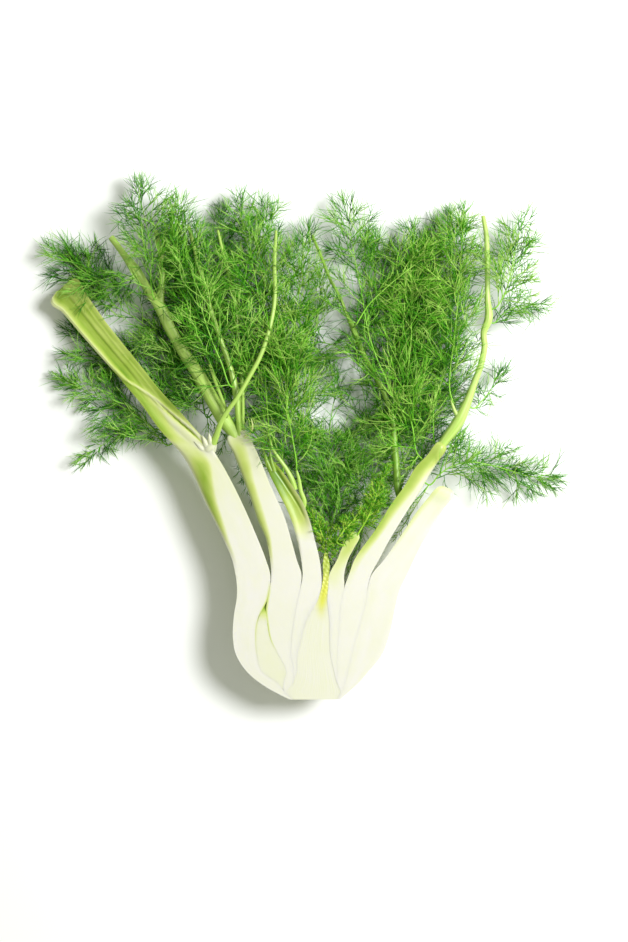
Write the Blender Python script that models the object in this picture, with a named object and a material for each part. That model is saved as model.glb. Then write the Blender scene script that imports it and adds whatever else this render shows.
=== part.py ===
"""Half of a fennel bulb, cut lengthwise, with its stalks and feathery fronds.

It lies on its rounded back with the cut face up. Lengths are in millimetres
until a mesh is made. X is to the right, Y runs from the root end to the
fronds and Z is up, with the table at zero.
"""
import math
import random

import bmesh
import bpy
import numpy as np
from mathutils import Vector
from mathutils.bvhtree import BVHTree

MM = 0.001
CUT_Z = 30.0
KEEL_GAP = 0.35
WRAP_GAP = 0.9
MARGIN = 0.9
GROUND_CLEAR = 0.05
THREAD = 0.3
SETTLE = 0.9
ROOT_GAP = 0.45
ROOT_RUN = 3.0
FOOT = 1.2
WALL_STEP = 0.8
SEED = 15

# Levels through the bulb, from the root end up to where the stalks part.
LEVEL_Y = [-40.0, -35.5, -30.9, -24.1, -14.3, -5.7, 3.0, 10.3, 17.2, 24.0]
AXIS_X = [0.6, 0.6, 0.6, 0.9, 1.1, 1.4, 2.0, 2.9, 4.0, 5.2]
BACK_DEPTH = [15.0, 19.5, 23.5, 27.0, 29.5, 31.0, 31.0, 31.0, 28.0, 23.0]
LEFT_EDGE = [-13.8, -22.9, -30.4, -38.4, -44.7, -46.4, -46.4, -45.6, -44.4, -44.1]
RIGHT_EDGE = [14.9, 20.1, 25.2, 31.2, 39.0, 42.4, 44.7, 46.1, 47.6, 49.6]

# Every leaf base: the side it stands on, its first level, how many of the
# spokes it reaches over, and where it starts and ends on the cut face.
WRAPS = [
    ("sheath_left_outer", -1, 0, 10,
     [-13.8, -22.9, -30.4, -38.4, -44.7, -46.4, -46.4, -45.6, -44.4, -44.1],
     [-12.6, -17.2, -20.6, -29.8, -32.7, -33.5, -32.9, -30.4, -27.5, -26.4]),
    ("axillary_bud", -1, 2, 4,
     [-20.2, -29.4, -32.3, -33.1, -32.5, -30.0],
     [-18.2, -16.8, -21.3, -25.7, -27.4, -28.1]),
    ("sheath_right_outer", 1, 0, 10,
     [14.9, 20.1, 25.2, 31.2, 39.0, 42.4, 44.7, 46.1, 47.6, 49.6],
     [13.7, 16.5, 17.8, 19.5, 21.8, 23.8, 26.4, 28.4, 30.4, 31.5]),
    ("sheath_left_middle", -1, 1, 9,
     [-16.8, -17.2, -15.5, -20.1, -24.6, -26.4, -27.2, -25.8, -24.4],
     [-16.1, -12.6, -11.7, -13.2, -12.9, -11.7, -10.6, -9.5, -8.0]),
    ("sheath_right_middle", 1, 1, 9,
     [16.1, 17.4, 19.1, 21.4, 23.4, 26.0, 28.0, 29.2, 30.0],
     [15.5, 13.8, 13.5, 13.5, 14.0, 14.3, 14.9, 16.3, 17.8]),
    ("sheath_left_inner", -1, 3, 8,
     [-11.3, -12.8, -12.5, -11.3, -10.2, -8.0, -7.0],
     [-10.1, -9.7, -7.4, -5.2, -1.7, 2.0, 4.0]),
    ("sheath_right_inner", 1, 3, 8,
     [13.1, 13.1, 13.6, 13.9, 14.4, 15.3, 16.6],
     [11.9, 9.7, 9.2, 9.2, 8.6, 7.9, 8.3]),
]
SPOKES = np.array([0.0, 9.0, 20.0, 33.0, 48.0, 65.0, 84.0, 104.0, 125.0, 148.0])
SPOKE_SPREAD = [1.0, 1.0, 1.0, 0.98, 0.94, 0.86, 0.76, 0.64, 0.50, 0.34]
SLACK = [1.8, 1.9, 1.8, 1.4, 1.0, 1.0, 1.0, 1.0, 1.0, 1.0]
LIDS = {"sheath_left_outer": 1, "sheath_left_inner": 1, "sheath_right_middle": 1}
STALK_BLEND = {8: 0.15, 9: 0.5}

# Each stalk above the bulb: left and right edge, height of its top, depth
# under it, and how deep a groove runs along the top.
STALKS = {
    "sheath_left_outer": [
        ((-45.0, 31.5), (-26.1, 31.5), 30.0, 16.0, 0.0),
        ((-47.0, 40.1), (-28.6, 40.1), 30.0, 14.5, 0.0),
        ((-51.6, 51.0), (-32.4, 51.0), 30.0, 14.0, 0.0),
        ((-64.5, 77.4), (-47.8, 85.9), 30.0, 14.0, 0.0),
        ((-69.3, 88.2), (-53.6, 96.3), 30.0, 14.0, 0.0),
        ((-75.6, 99.7), (-60.2, 106.0), 30.0, 14.0, 0.3),
        ((-82.0, 107.4), (-66.5, 113.2), 28.6, 13.5, 1.2),
        ((-88.2, 114.0), (-75.4, 123.3), 26.8, 12.0, 2.2),
        ((-99.7, 129.5), (-88.6, 137.5), 23.8, 10.5, 3.0),
        ((-111.2, 143.2), (-99.1, 150.6), 21.0, 9.5, 3.4),
        ((-135.1, 170.2), (-121.5, 178.6), 15.8, 8.5, 4.5),
        ((-146.4, 183.4), (-132.6, 194.1), 13.6, 8.0, 4.8),
        ((-153.1, 190.8), (-139.0, 203.0), 12.6, 7.0, 4.6),
    ],
    "sheath_left_middle": [
        ((-23.5, 31.5), (-6.9, 31.5), 30.0, 14.5, 0.0),
        ((-25.2, 40.1), (-8.6, 40.1), 30.0, 13.5, 0.0),
        ((-27.5, 51.0), (-11.5, 51.0), 30.0, 13.0, 0.0),
        ((-32.1, 62.5), (-17.2, 65.3), 30.0, 12.5, 0.0),
        ((-37.2, 77.4), (-24.1, 80.8), 30.0, 12.0, 0.0),
        ((-46.4, 101.4), (-34.4, 105.4), 30.0, 11.0, 0.3),
        ((-50.1, 110.6), (-39.0, 114.0), 30.0, 10.5, 1.0),
    ],
    "sheath_left_inner": [
        ((-6.1, 31.5), (4.2, 31.5), 30.0, 11.0, 0.0),
        ((-7.5, 40.1), (3.2, 40.1), 30.0, 9.5, 0.0),
        ((-9.7, 48.7), (0.6, 51.0), 30.0, 9.0, 0.0),
        ((-11.7, 59.0), (-2.6, 63.0), 30.0, 8.0, 1.2),
        ((-15.5, 68.8), (-6.3, 72.8), 30.0, 7.0, 1.8),
        ((-21.2, 80.2), (-13.2, 83.7), 29.5, 5.5, 1.6),
        ((-27.0, 93.4), (-22.3, 95.5), 29.0, 3.0, 0.6),
    ],
    "sheath_right_outer": [
        ((53.3, 31.5), (33.2, 31.5), 30.0, 15.5, 0.0),
        ((57.3, 40.1), (40.1, 40.1), 30.0, 14.0, 0.0),
        ((63.0, 51.0), (52.7, 58.2), 30.0, 12.5, 0.0),
        ((68.2, 59.0), (57.9, 66.2), 30.0, 12.0, 0.0),
        ((73.9, 68.8), (65.0, 75.1), 30.0, 10.5, 0.0),
        ((80.2, 78.5), (71.6, 82.2), 30.0, 9.0, 0.0),
    ],
    "sheath_right_middle": [
        ((32.3, 31.5), (19.5, 31.5), 30.0, 14.0, 0.0),
        ((37.2, 40.1), (22.3, 40.1), 30.0, 13.0, 0.0),
        ((43.0, 51.0), (34.4, 56.2), 30.0, 12.0, 0.0),
        ((53.9, 68.8), (45.6, 73.9), 30.0, 11.0, 0.0),
        ((59.6, 77.4), (51.7, 82.1), 30.0, 10.5, 0.0),
        ((66.4, 88.8), (58.8, 93.8), 29.6, 9.4, -0.8),
        ((70.9, 95.9), (64.8, 99.9), 29.5, 7.8, -0.7),
        ((76.2, 104.0), (70.7, 107.5), 29.3, 6.4, -0.9),
    ],
    "sheath_right_inner": [
        ((17.6, 31.5), (8.8, 31.5), 30.0, 9.0, 0.0),
        ((20.4, 40.1), (13.2, 40.1), 30.0, 7.5, 0.0),
        ((24.4, 47.6), (17.6, 49.9), 30.0, 6.0, 0.0),
        ((26.9, 52.7), (22.2, 55.4), 29.5, 4.0, 0.0),
    ],
}

# The yellow growing point on top of the core: height, middle, half width, depth.
HEART = [
    (11.9, 3.8, 4.1, 5.0),
    (17.2, 4.95, 2.4, 4.5),
    (24.0, 6.15, 1.6, 4.0),
    (31.0, 6.6, 1.5, 4.0),
    (38.0, 7.6, 1.9, 4.0),
    (44.0, 8.3, 0.8, 2.0),
]

# Round stems: colour, sides, then the middle and radius along each. A second
# path under the same name is a fork that is fused to the first.
STEMS = {
    "sheath_left_outer": ("stem", 8, [
        [(-65.5, 95.0, 22.0, 3.0), (-61.4, 102.4, 25.6, 3.6), (-57.8, 107.2, 28.8, 2.7)]]),
    "stem_left_forked": ("stem", 8, [
        [(-46.6, 113.4, 25.5, 3.4), (-51.0, 119.5, 25.0, 3.8), (-56.5, 128.5, 23.5, 3.5),
         (-66.5, 146.1, 21.0, 3.2), (-76.8, 162.2, 19.5, 3.1), (-83.6, 174.2, 18.8, 3.1),
         (-89.0, 186.0, 18.6, 3.5), (-95.6, 195.0, 18.2, 2.6), (-100.6, 203.4, 18.0, 2.7),
         (-103.4, 207.4, 18.0, 3.0), (-109.2, 215.2, 17.4, 2.1), (-117.6, 226.5, 16.4, 1.8)],
        [(-89.0, 185.0, 18.8, 2.2), (-88.2, 197.1, 19.6, 1.9), (-87.7, 206.3, 19.8, 1.8),
         (-88.6, 216.0, 19.6, 1.6), (-91.5, 230.0, 18.8, 1.3)]]),
    "stem_left_long": ("stem", 6, [
        [(-43.0, 116.5, 27.8, 1.6), (-43.6, 124.0, 29.5, 1.6), (-44.2, 132.9, 30.0, 2.1),
         (-48.1, 150.7, 30.0, 1.6), (-52.7, 163.9, 29.5, 1.5), (-56.7, 175.3, 29.0, 1.5),
         (-60.2, 186.2, 28.5, 1.5), (-64.2, 200.0, 27.5, 1.4), (-67.6, 213.2, 26.0, 1.3),
         (-72.2, 232.1, 23.0, 1.0)]]),
    "stem_left_slim": ("stem", 6, [
        [(-41.0, 117.0, 23.0, 1.1), (-41.2, 134.7, 24.0, 1.2), (-43.6, 165.0, 24.0, 1.1),
         (-46.2, 190.8, 23.5, 1.1), (-48.7, 201.7, 23.0, 1.1), (-51.6, 213.2, 22.0, 1.0),
         (-55.6, 230.3, 20.0, 0.8)]]),
    "stem_left_crossing": ("stem", 6, [
        [(-57.1, 108.7, 29.6, 1.7), (-52.2, 120.8, 34.6, 1.5), (-48.4, 126.5, 35.8, 1.4),
         (-44.1, 132.4, 36.6, 1.3), (-36.7, 145.0, 36.6, 1.3), (-30.9, 155.9, 36.0, 1.3),
         (-25.8, 170.8, 35.0, 1.3), (-22.9, 184.5, 33.6, 1.2), (-22.6, 212.6, 29.0, 1.1),
         (-21.8, 229.2, 25.5, 0.8)]]),
    "stem_left_short": ("stem", 6, [
        [(-49.6, 124.6, 31.4, 0.7), (-52.6, 132.0, 31.2, 0.9), (-57.3, 144.4, 29.6, 0.9),
         (-60.0, 152.0, 28.0, 0.7)]]),
    "stem_middle": ("stem", 6, [
        [(50.5, 92.0, 20.0, 1.3), (48.7, 106.0, 20.5, 1.5), (45.3, 124.9, 20.5, 1.4),
         (40.7, 135.2, 20.0, 1.4), (34.4, 147.8, 19.5, 1.3), (28.6, 158.7, 19.0, 1.3),
         (22.9, 173.0, 18.5, 1.6), (18.9, 181.6, 18.0, 1.0), (14.9, 192.0, 17.4, 0.9),
         (9.2, 202.3, 16.6, 0.9), (5.7, 211.4, 15.8, 0.9), (-1.1, 228.1, 14.0, 0.8)]]),
    "stem_heart_left": ("stem", 6, [
        [(-12.9, 87.6, 28.6, 1.5), (-16.0, 92.4, 29.4, 1.5), (-20.4, 98.6, 30.0, 1.7),
         (-24.0, 103.6, 30.0, 1.0), (-25.8, 112.0, 29.4, 0.9)]]),
    "stem_heart_right": ("stem", 6, [
        [(-3.6, 72.6, 26.6, 1.9), (-7.6, 79.0, 27.4, 1.8), (-8.6, 86.0, 28.0, 1.5),
         (-10.2, 92.0, 28.4, 1.2)]]),
    "sheath_right_middle": ("stem", 8, [
        [(62.0, 89.0, 25.2, 2.2), (67.6, 97.2, 25.7, 2.5), (73.4, 106.0, 26.3, 2.7),
         (83.4, 120.3, 27.0, 3.4), (87.9, 130.1, 27.0, 2.6),
         (91.7, 140.4, 27.0, 2.0), (96.3, 153.6, 27.0, 1.8), (98.0, 163.3, 27.2, 1.8),
         (97.4, 169.6, 27.4, 1.8), (100.3, 178.8, 28.0, 2.4), (99.8, 189.1, 27.2, 1.7),
         (99.7, 212.0, 25.6, 1.6), (99.1, 228.1, 24.0, 1.4), (97.4, 238.0, 23.0, 1.1)],
        [(83.6, 120.6, 27.4, 1.6), (78.8, 130.2, 28.4, 1.1)]]),
}

# Fronds: colour, reach of the side sprays at the root and half way, and the
# slim stem that carries them.
FRONDS = {
    "frond_left_low": ("mid", 14, 9, [
        (-72, 103, 12), (-82, 112, 11), (-96, 116, 9), (-114, 112, 6), (-135, 101, 2.5)]),
    "frond_left_side": ("mid", 22, 18, [
        (-84, 106, 14), (-98, 120, 12), (-116, 130, 10), (-135, 137, 7), (-152, 149, 3)]),
    "frond_left_shade": ("dark", 21, 18, [
        (-78, 132, 8), (-92, 146, 7), (-108, 154, 6), (-122, 156, 5), (-134, 166, 4)]),
    "frond_left_gap": ("mid", 21, 17, [
        (-76, 154, 13), (-89, 168, 11), (-104, 180, 9), (-120, 190, 7), (-134, 206, 5)]),
    "frond_left_top": ("dark", 19, 16, [
        (-104, 204, 14), (-116, 200, 12), (-129, 204, 10), (-143, 214, 8)]),
    "frond_fork": ("mid", 19, 16, [
        (-92, 190, 23), (-94, 202, 26), (-93, 216, 26), (-96, 230, 24), (-100, 246, 18)]),
    "frond_under_stem": ("dark", 23, 18, [
        (-62, 122, 14), (-66, 138, 12), (-72, 154, 10), (-76, 172, 9), (-78, 192, 8), (-80, 216, 7)]),
    "frond_between": ("mid", 21, 18, [
        (-52, 132, 17), (-58, 148, 17), (-66, 166, 18), (-72, 184, 19), (-76, 204, 19), (-80, 226, 16)]),
    "frond_long_stem": ("mid", 20, 17, [
        (-47, 139, 34), (-53, 153, 35), (-60, 170, 35), (-66, 190, 34), (-71, 210, 31), (-78, 236, 24)]),
    "frond_slim_stem": ("dark", 20, 17, [
        (-46, 122, 18), (-40, 140, 15), (-40, 162, 14), (-44, 184, 13), (-50, 206, 12), (-54, 232, 9)]),
    "frond_crossing": ("mid", 20, 17, [
        (-38, 148, 33), (-33, 162, 31), (-31, 180, 29), (-33, 198, 27), (-37, 216, 24), (-42, 238, 18)]),
    "frond_centre_bright": ("bright", 22, 18, [
        (-26, 114, 26), (-27, 128, 25), (-28, 146, 24), (-26, 166, 22), (-24, 188, 20), (-26, 212, 16),
        (-28, 236, 11)]),
    "frond_centre_high": ("bright", 20, 17, [
        (-10, 94, 31), (-12, 108, 33), (-15, 126, 33), (-15, 146, 31), (-12, 168, 28), (-9, 192, 24),
        (-6, 220, 17)]),
    "frond_centre_low": ("mid", 19, 17, [
        (-18, 88, 20), (-18, 104, 16), (-12, 124, 13), (-6, 144, 11), (0, 168, 9), (4, 194, 7)]),
    "frond_heart_back": ("dark", 18, 18, [
        (4, 52, 10), (6, 68, 9), (6, 84, 8), (8, 102, 7), (10, 122, 6), (14, 144, 4)]),
    "frond_heart_front": ("dark", 18, 15, [
        (10, 54, 21), (12, 66, 19), (14, 80, 18), (12, 94, 17), (6, 108, 15)]),
    "frond_heart_right": ("mid", 18, 17, [
        (30, 62, 14), (33, 76, 12), (34, 92, 10), (33, 110, 8), (30, 130, 7), (26, 152, 5)]),
    "frond_middle_stem": ("mid", 21, 18, [
        (46, 128, 25), (42, 142, 26), (36, 156, 26), (31, 172, 25), (28, 190, 23), (24, 212, 19),
        (20, 236, 14)]),
    "frond_middle_side": ("bright", 19, 16, [
        (24, 175, 24), (31, 186, 25), (41, 196, 25), (53, 206, 23), (66, 216, 19)]),
    "frond_middle_low": ("mid", 20, 16, [
        (36, 140, 20), (28, 150, 18), (20, 158, 15), (12, 164, 12), (4, 166, 8)]),
    "frond_right_fan_left": ("mid", 22, 19, [
        (52, 92, 14), (50, 108, 14), (47, 126, 15), (46, 146, 15), (43, 168, 14), (40, 190, 12),
        (38, 218, 8)]),
    "frond_right_fan_middle": ("bright", 22, 19, [
        (60, 100, 26), (57, 114, 27), (54, 130, 27), (54, 148, 26), (56, 168, 24), (56, 190, 21),
        (56, 220, 15)]),
    "frond_right_fan_right": ("mid", 22, 19, [
        (70, 106, 20), (69, 120, 19), (70, 138, 19), (73, 156, 18), (75, 178, 16), (76, 200, 13),
        (78, 228, 8)]),
    "frond_right_stem": ("bright", 18, 16, [
        (78, 136, 30), (78, 148, 31), (80, 164, 30), (82, 182, 28), (84, 204, 24), (86, 230, 17)]),
    "frond_right_shade": ("dark", 20, 18, [
        (62, 92, 12), (63, 108, 9), (62, 126, 8), (64, 146, 7), (66, 168, 6), (64, 192, 5),
        (66, 216, 3)]),
    "frond_right_top": ("bright", 16, 15, [
        (103, 184, 29), (108, 190, 29), (112, 200, 27), (115, 214, 24), (119, 230, 19)]),
    "frond_right_out": ("mid", 12, 9, [
        (103, 176, 25), (111, 182, 22), (120, 186, 18), (128, 187, 14)]),
    "frond_right_small": ("mid", 8, 6, [
        (92, 127, 25), (97, 132, 23), (102, 138, 20), (107, 145, 16)]),
    "frond_right_low": ("bright", 15, 15, [
        (66, 83, 27), (72, 89, 27), (80, 94, 25), (92, 96, 21), (104, 93, 16.5), (115, 89, 12),
        (126, 86, 8), (137, 86, 4.5)]),
}
YOUNG_LEAVES = {
    "young_leaf_heart": ("young", 8, 7, [
        (13, 50.2, 31), (15, 54, 32.4), (18, 58.2, 33), (22, 62.2, 32.8)]),
    "young_leaf_side": ("young", 8, 7, [
        (27, 58, 30), (30, 63, 32), (33, 70, 34), (36, 78, 35), (38, 86, 34)]),
    "young_leaf_back": ("young", 8, 7, [
        (5, 46, 25), (6, 50, 27), (4, 56, 27), (1, 62, 25)]),
}

COLOURS = {
    "flesh": ((0.86, 0.87, 0.78), 0.42),
    "stalk": ((0.80, 0.84, 0.62), 0.42),
    "bud": ((0.72, 0.76, 0.38), 0.45),
    "heart": ((0.78, 0.76, 0.22), 0.45),
    "stem": ((0.42, 0.56, 0.20), 0.45),
    "bright": ((0.17, 0.40, 0.07), 0.50),
    "mid": ((0.10, 0.28, 0.05), 0.52),
    "dark": ((0.05, 0.17, 0.03), 0.55),
    "young": ((0.45, 0.58, 0.09), 0.50),
}


def clear_scene():
    for old in list(bpy.data.objects):
        bpy.data.objects.remove(old, do_unlink=True)


def make_collection(name):
    group = bpy.data.collections.new(name)
    bpy.context.scene.collection.children.link(group)
    return group


def make_material(name, kind):
    colour, roughness = COLOURS[kind]
    material = bpy.data.materials.new(name + "_surface")
    material.use_nodes = True
    shader = material.node_tree.nodes["Principled BSDF"]
    shader.inputs["Base Color"].default_value = (*colour, 1.0)
    shader.inputs["Roughness"].default_value = roughness
    shader.inputs["Metallic"].default_value = 0.0
    return material


def add_node(name, kind, verts, faces, smooth):
    """Makes a named object from millimetre points and gives it its material."""
    mesh = bpy.data.meshes.new(name)
    mesh.from_pydata([tuple(Vector(v) * MM) for v in verts], [], faces)
    shape = bmesh.new()
    shape.from_mesh(mesh)
    bmesh.ops.recalc_face_normals(shape, faces=shape.faces)
    for face in shape.faces:
        face.smooth = smooth
    for edge in shape.edges:
        if len(edge.link_faces) == 2:
            edge.smooth = edge.calc_face_angle(0.0) < math.radians(38)
    shape.to_mesh(mesh)
    shape.free()
    obj = bpy.data.objects.new(name, mesh)
    obj.data.materials.append(make_material(name, kind))
    parts.objects.link(obj)
    return obj


# The bulb


def smoothstep(low, high, value):
    t = np.clip((value - low) / (high - low), 0.0, 1.0)
    return t * t * (3.0 - 2.0 * t)


ANGLES = np.linspace(0.0, 180.0, 181)


def half_outline(level):
    """Radius of the bulb's section round its axis, from the left cut edge under to the right."""
    angle = np.radians(ANGLES)
    left = AXIS_X[level] - LEFT_EDGE[level]
    right = RIGHT_EDGE[level] - AXIS_X[level]
    across = np.where(ANGLES < 90.0, left, right)
    depth = BACK_DEPTH[level]
    radius = ((np.abs(np.cos(angle)) / across) ** 2 + (np.sin(angle) / depth) ** 2) ** -0.5
    flat = CUT_Z / np.maximum(np.sin(angle), 0.05)
    return np.minimum(radius, flat)


def wrap_thickness(keel, reach, slack):
    fall = min(45.0, 0.62 * reach)
    margin = min(keel, MARGIN)
    taper = margin + (keel - margin) * np.exp(-(ANGLES / fall) ** 1.3)
    return taper + MARGIN * (slack - 1.0) * smoothstep(0.0, 20.0, ANGLES)


def polar_point(level, side, angle, radius):
    x = AXIS_X[level] + side * radius * math.cos(math.radians(angle))
    z = CUT_Z - radius * math.sin(math.radians(angle))
    return Vector((x, LEVEL_Y[level], z))


def stalk_ring(spokes, lids, edge_out, edge_in, top, depth, groove):
    """A stalk's section: round underneath, flat, ribbed or grooved on top."""
    start = Vector((*edge_out, top))
    end = Vector((*edge_in, top))
    middle = (start + end) / 2
    half = (end - start) / 2

    def under(angle):
        turn = math.radians(angle)
        drop = depth * math.sin(turn) ** 0.85 if 0.0 < angle < 180.0 else 0.0
        return middle - half * math.cos(turn) - Vector((0, 0, drop))

    share = SPOKES[:spokes] / SPOKES[spokes - 1]
    outer = [under(112.0 * f) for f in share]
    inner = [under(180.0 - 60.0 * f) for f in share[:-1]]
    lid = []
    for k in range(lids):
        f = 1.0 - 2.0 * (k + 1) / (lids + 1)
        lid.append(middle + half * f - Vector((0, 0, groove * (1 - f * f))))
    return outer + inner[::-1] + lid


def wrap_ring(level, side, spokes, lids, outer_radius, inner_radius):
    angles = SPOKES[:spokes] * SPOKE_SPREAD[level]

    def at(angle, radii):
        return polar_point(level, side, angle, float(np.interp(angle, ANGLES, radii)))

    outer = [at(angle, outer_radius) for angle in angles]
    inner = [at(angle, inner_radius) for angle in angles[:-1]]
    lid = [inner[0].lerp(outer[0], (k + 1) / (lids + 1)) for k in range(lids)]
    return outer + inner[::-1] + lid


def core_ring(level, room):
    """The core fills what is left, on the same spokes as the leaf bases round it."""
    side = SPOKES[:7] * SPOKE_SPREAD[level]
    middle = [side[-1] + (180.0 - 2.0 * side[-1]) * f for f in (0.25, 0.5, 0.75)]
    angles = [*side, *middle, *(180.0 - side[::-1])]
    return [polar_point(level, -1, a, float(np.interp(a, ANGLES, room))) for a in angles]


def layer_sections():
    """Sections of every leaf base and of the core, level by level, from the outside in."""
    rings = {row[0]: [] for row in WRAPS}
    core = []
    for level in range(len(LEVEL_Y)):
        room = half_outline(level)
        for name, side, first, spokes, outs, ins in WRAPS:
            index = level - first
            if index < 0 or index >= len(outs):
                continue
            own = room if side < 0 else room[::-1]
            keel_out = abs(outs[index] - AXIS_X[level])
            keel_in = abs(ins[index] - AXIS_X[level])
            reach = SPOKES[spokes - 1] * SPOKE_SPREAD[level]
            outer = own - (own[0] - keel_out) * np.exp(-ANGLES / 15.0)
            inner = outer - wrap_thickness(keel_out - keel_in, reach, SLACK[level])
            gap = KEEL_GAP + (WRAP_GAP * SLACK[level] - KEEL_GAP) * smoothstep(0.0, 20.0, ANGLES)
            beyond = smoothstep(reach + 18.0, reach + 54.0, ANGLES)
            own = (inner - gap) * (1.0 - beyond) + own * beyond
            room = own if side < 0 else own[::-1]
            lids = LIDS.get(name, 0)
            ring = wrap_ring(level, side, spokes, lids, outer, inner)
            if level in STALK_BLEND and name in STALKS:
                y = LEVEL_Y[level]
                depth = STALKS[name][0][3] + 2.0
                edges = ((outs[index], y), (ins[index], y))
                stalk = stalk_ring(spokes, lids, *edges, CUT_Z, depth, 0.0)
                share = STALK_BLEND[level]
                ring = [a.lerp(b, share) for a, b in zip(ring, stalk)]
            rings[name].append(ring)
        if level < 8:
            core.append(core_ring(level, room))
    return rings, core


def loft(rings, fold=0):
    """Joins rings of equal length and closes both ends.

    Up to the fold the faces are split one way and after it the other way, so
    that the two sides of a thin wrap stay parallel.
    """
    count = len(rings[0])
    verts = [point for ring in rings for point in ring]
    faces = [tuple(range(count))]
    for row in range(len(rings) - 1):
        base = row * count
        for k in range(count):
            after = (k + 1) % count
            a, b, c, d = base + k, base + after, base + count + after, base + count + k
            if not fold:
                faces.append((a, b, c, d))
            elif k < fold:
                faces += [(a, b, c), (a, c, d)]
            else:
                faces += [(a, b, d), (b, c, d)]
    last = (len(rings) - 1) * count
    faces.append(tuple(range(last + count - 1, last - 1, -1)))
    return verts, faces


def shrunk(ring, share, move):
    middle = sum(ring, Vector()) / len(ring)
    return [middle.lerp(point, share) + Vector(move) for point in ring]


def build_bulb():
    rings, core = layer_sections()
    solids = {}
    for name, _, _, spokes, _, _ in WRAPS:
        sections = rings[name]
        if name in STALKS:
            lids = LIDS.get(name, 0)
            sections = sections + [stalk_ring(spokes, lids, *row) for row in STALKS[name]]
        else:
            sections = sections + [shrunk(sections[-1], 0.35, (1.0, 1.3, 0.0))]
        solids[name] = loft(sections, spokes - 1)
    core.append(shrunk(core[-1], 0.85, (0.4, 1.2, 0.6)))
    solids["core"] = loft(core, 8)
    heart = []
    for y, x, half, depth in HEART:
        heart.append([Vector((x - half * math.cos(t), y, CUT_Z - depth * math.sin(t)))
                      for t in (math.pi * k / 6 for k in range(7))])
    solids["heart_bud"] = loft(heart)
    kinds = {"core": "flesh", "axillary_bud": "bud", "heart_bud": "heart"}
    for name, (verts, faces) in solids.items():
        add_node(name, kinds.get(name, "stalk"), verts, faces, True)

# Stems and fronds


class Thicket:
    """All that has grown so far, so that new threads keep clear of it."""

    def __init__(self, walls):
        self.walls = walls
        self.starts = []
        self.ends = []
        self.radii = []
        self.owners = []
        self.cache = None

    def add(self, start, end, radius, owner):
        self.starts.append(tuple(start))
        self.ends.append(tuple(end))
        self.radii.append(radius)
        self.owners.append(owner)
        self.cache = None

    def arrays(self):
        if self.cache is None:
            self.cache = (np.array(self.starts), np.array(self.ends), np.array(self.radii),
                          np.array(self.owners))
        return self.cache

    def distances(self, start, end):
        """Distance from one straight piece to every piece that is there."""
        a, b, _, _ = self.arrays()
        p = np.array(start)
        along = np.array(end) - p
        other = b - a
        offset = p - a
        aa = along @ along + 1e-9
        ee = np.einsum("ij,ij->i", other, other) + 1e-9
        mixed = other @ along
        ff = np.einsum("ij,ij->i", other, offset)
        cc = offset @ along
        span = aa * ee - mixed * mixed
        s = np.where(span > 1e-9, (mixed * ff - cc * ee) / np.maximum(span, 1e-9), 0.0)
        s = np.clip(s, 0.0, 1.0)
        t = (mixed * s + ff) / ee
        low = t < 0.0
        high = t > 1.0
        t = np.clip(t, 0.0, 1.0)
        s = np.where(low, np.clip(-cc / aa, 0.0, 1.0), s)
        s = np.where(high, np.clip((mixed - cc) / aa, 0.0, 1.0), s)
        gap = offset + s[:, None] * along - t[:, None] * other
        return np.sqrt(np.einsum("ij,ij->i", gap, gap))

    def free(self, start, end, radius, owner, root=0.0, near=0.12, far=0.3):
        """True where the piece keeps clear of the table, the stalks and all threads.

        Its first stretch, the root, may be close to its own frond. A thread's
        tip has no thickness, so it may rest on the table.
        """
        low = end.z if radius < THREAD else end.z - radius
        if low < 0.0 or start.z - radius < GROUND_CLEAR:
            return False
        if self.starts:
            _, _, radii, owners = self.arrays()
            mine = owners == owner
            need = radius + radii + far
            if np.any((self.distances(start, end) < need) & ~mine):
                return False
            lifted = start + (end - start).normalized() * root
            need = radius + radii + near
            if np.any((self.distances(lifted, end) < need) & mine):
                return False
        first = Vector(start)
        last = Vector(end)
        steps = max(2, int((last - first).length / WALL_STEP) + 1)
        for k in range(steps + 1):
            point = first.lerp(last, k / steps)
            hit, normal, _, gap = self.walls.find_nearest(point, 12.0)
            if hit is None:
                continue
            if gap < radius + far or (point - hit).dot(normal) < 0.0:
                return False
        return True


class Growth:
    """One closed body that limbs and needles grow out of, face by face."""

    def __init__(self):
        self.verts = []
        self.faces = []

    def ring(self, centre, first, second, radius):
        signs = ((-1, -1), (1, -1), (1, 1), (-1, 1))
        start = len(self.verts)
        for a, b in signs:
            self.verts.append(centre + (first * a + second * b) * radius * 0.7071)
        return [start + k for k in range(4)]

    def walls(self, lower, upper):
        """Four side faces: towards -second, +first, +second and -first."""
        ids = []
        for k in range(4):
            after = (k + 1) % 4
            ids.append(len(self.faces))
            self.faces.append((lower[k], lower[after], upper[after], upper[k]))
        return ids

    def take(self, face):
        loop = self.faces[face]
        self.faces[face] = None
        return loop

    def spike(self, loop, tip):
        """Closes a loop of corners in a point."""
        peak = len(self.verts)
        self.verts.append(tip)
        for k in range(len(loop)):
            self.faces.append((loop[k], loop[(k + 1) % len(loop)], peak))

    def centre(self, loop):
        return sum((self.verts[k] for k in loop), Vector()) / len(loop)

    def solid(self):
        return self.verts, [face for face in self.faces if face is not None]


def turned(direction, first):
    """Two axes square to a direction, as near to the first one as may be."""
    first = (first - direction * first.dot(direction)).normalized()
    return first, direction.cross(first)


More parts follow.
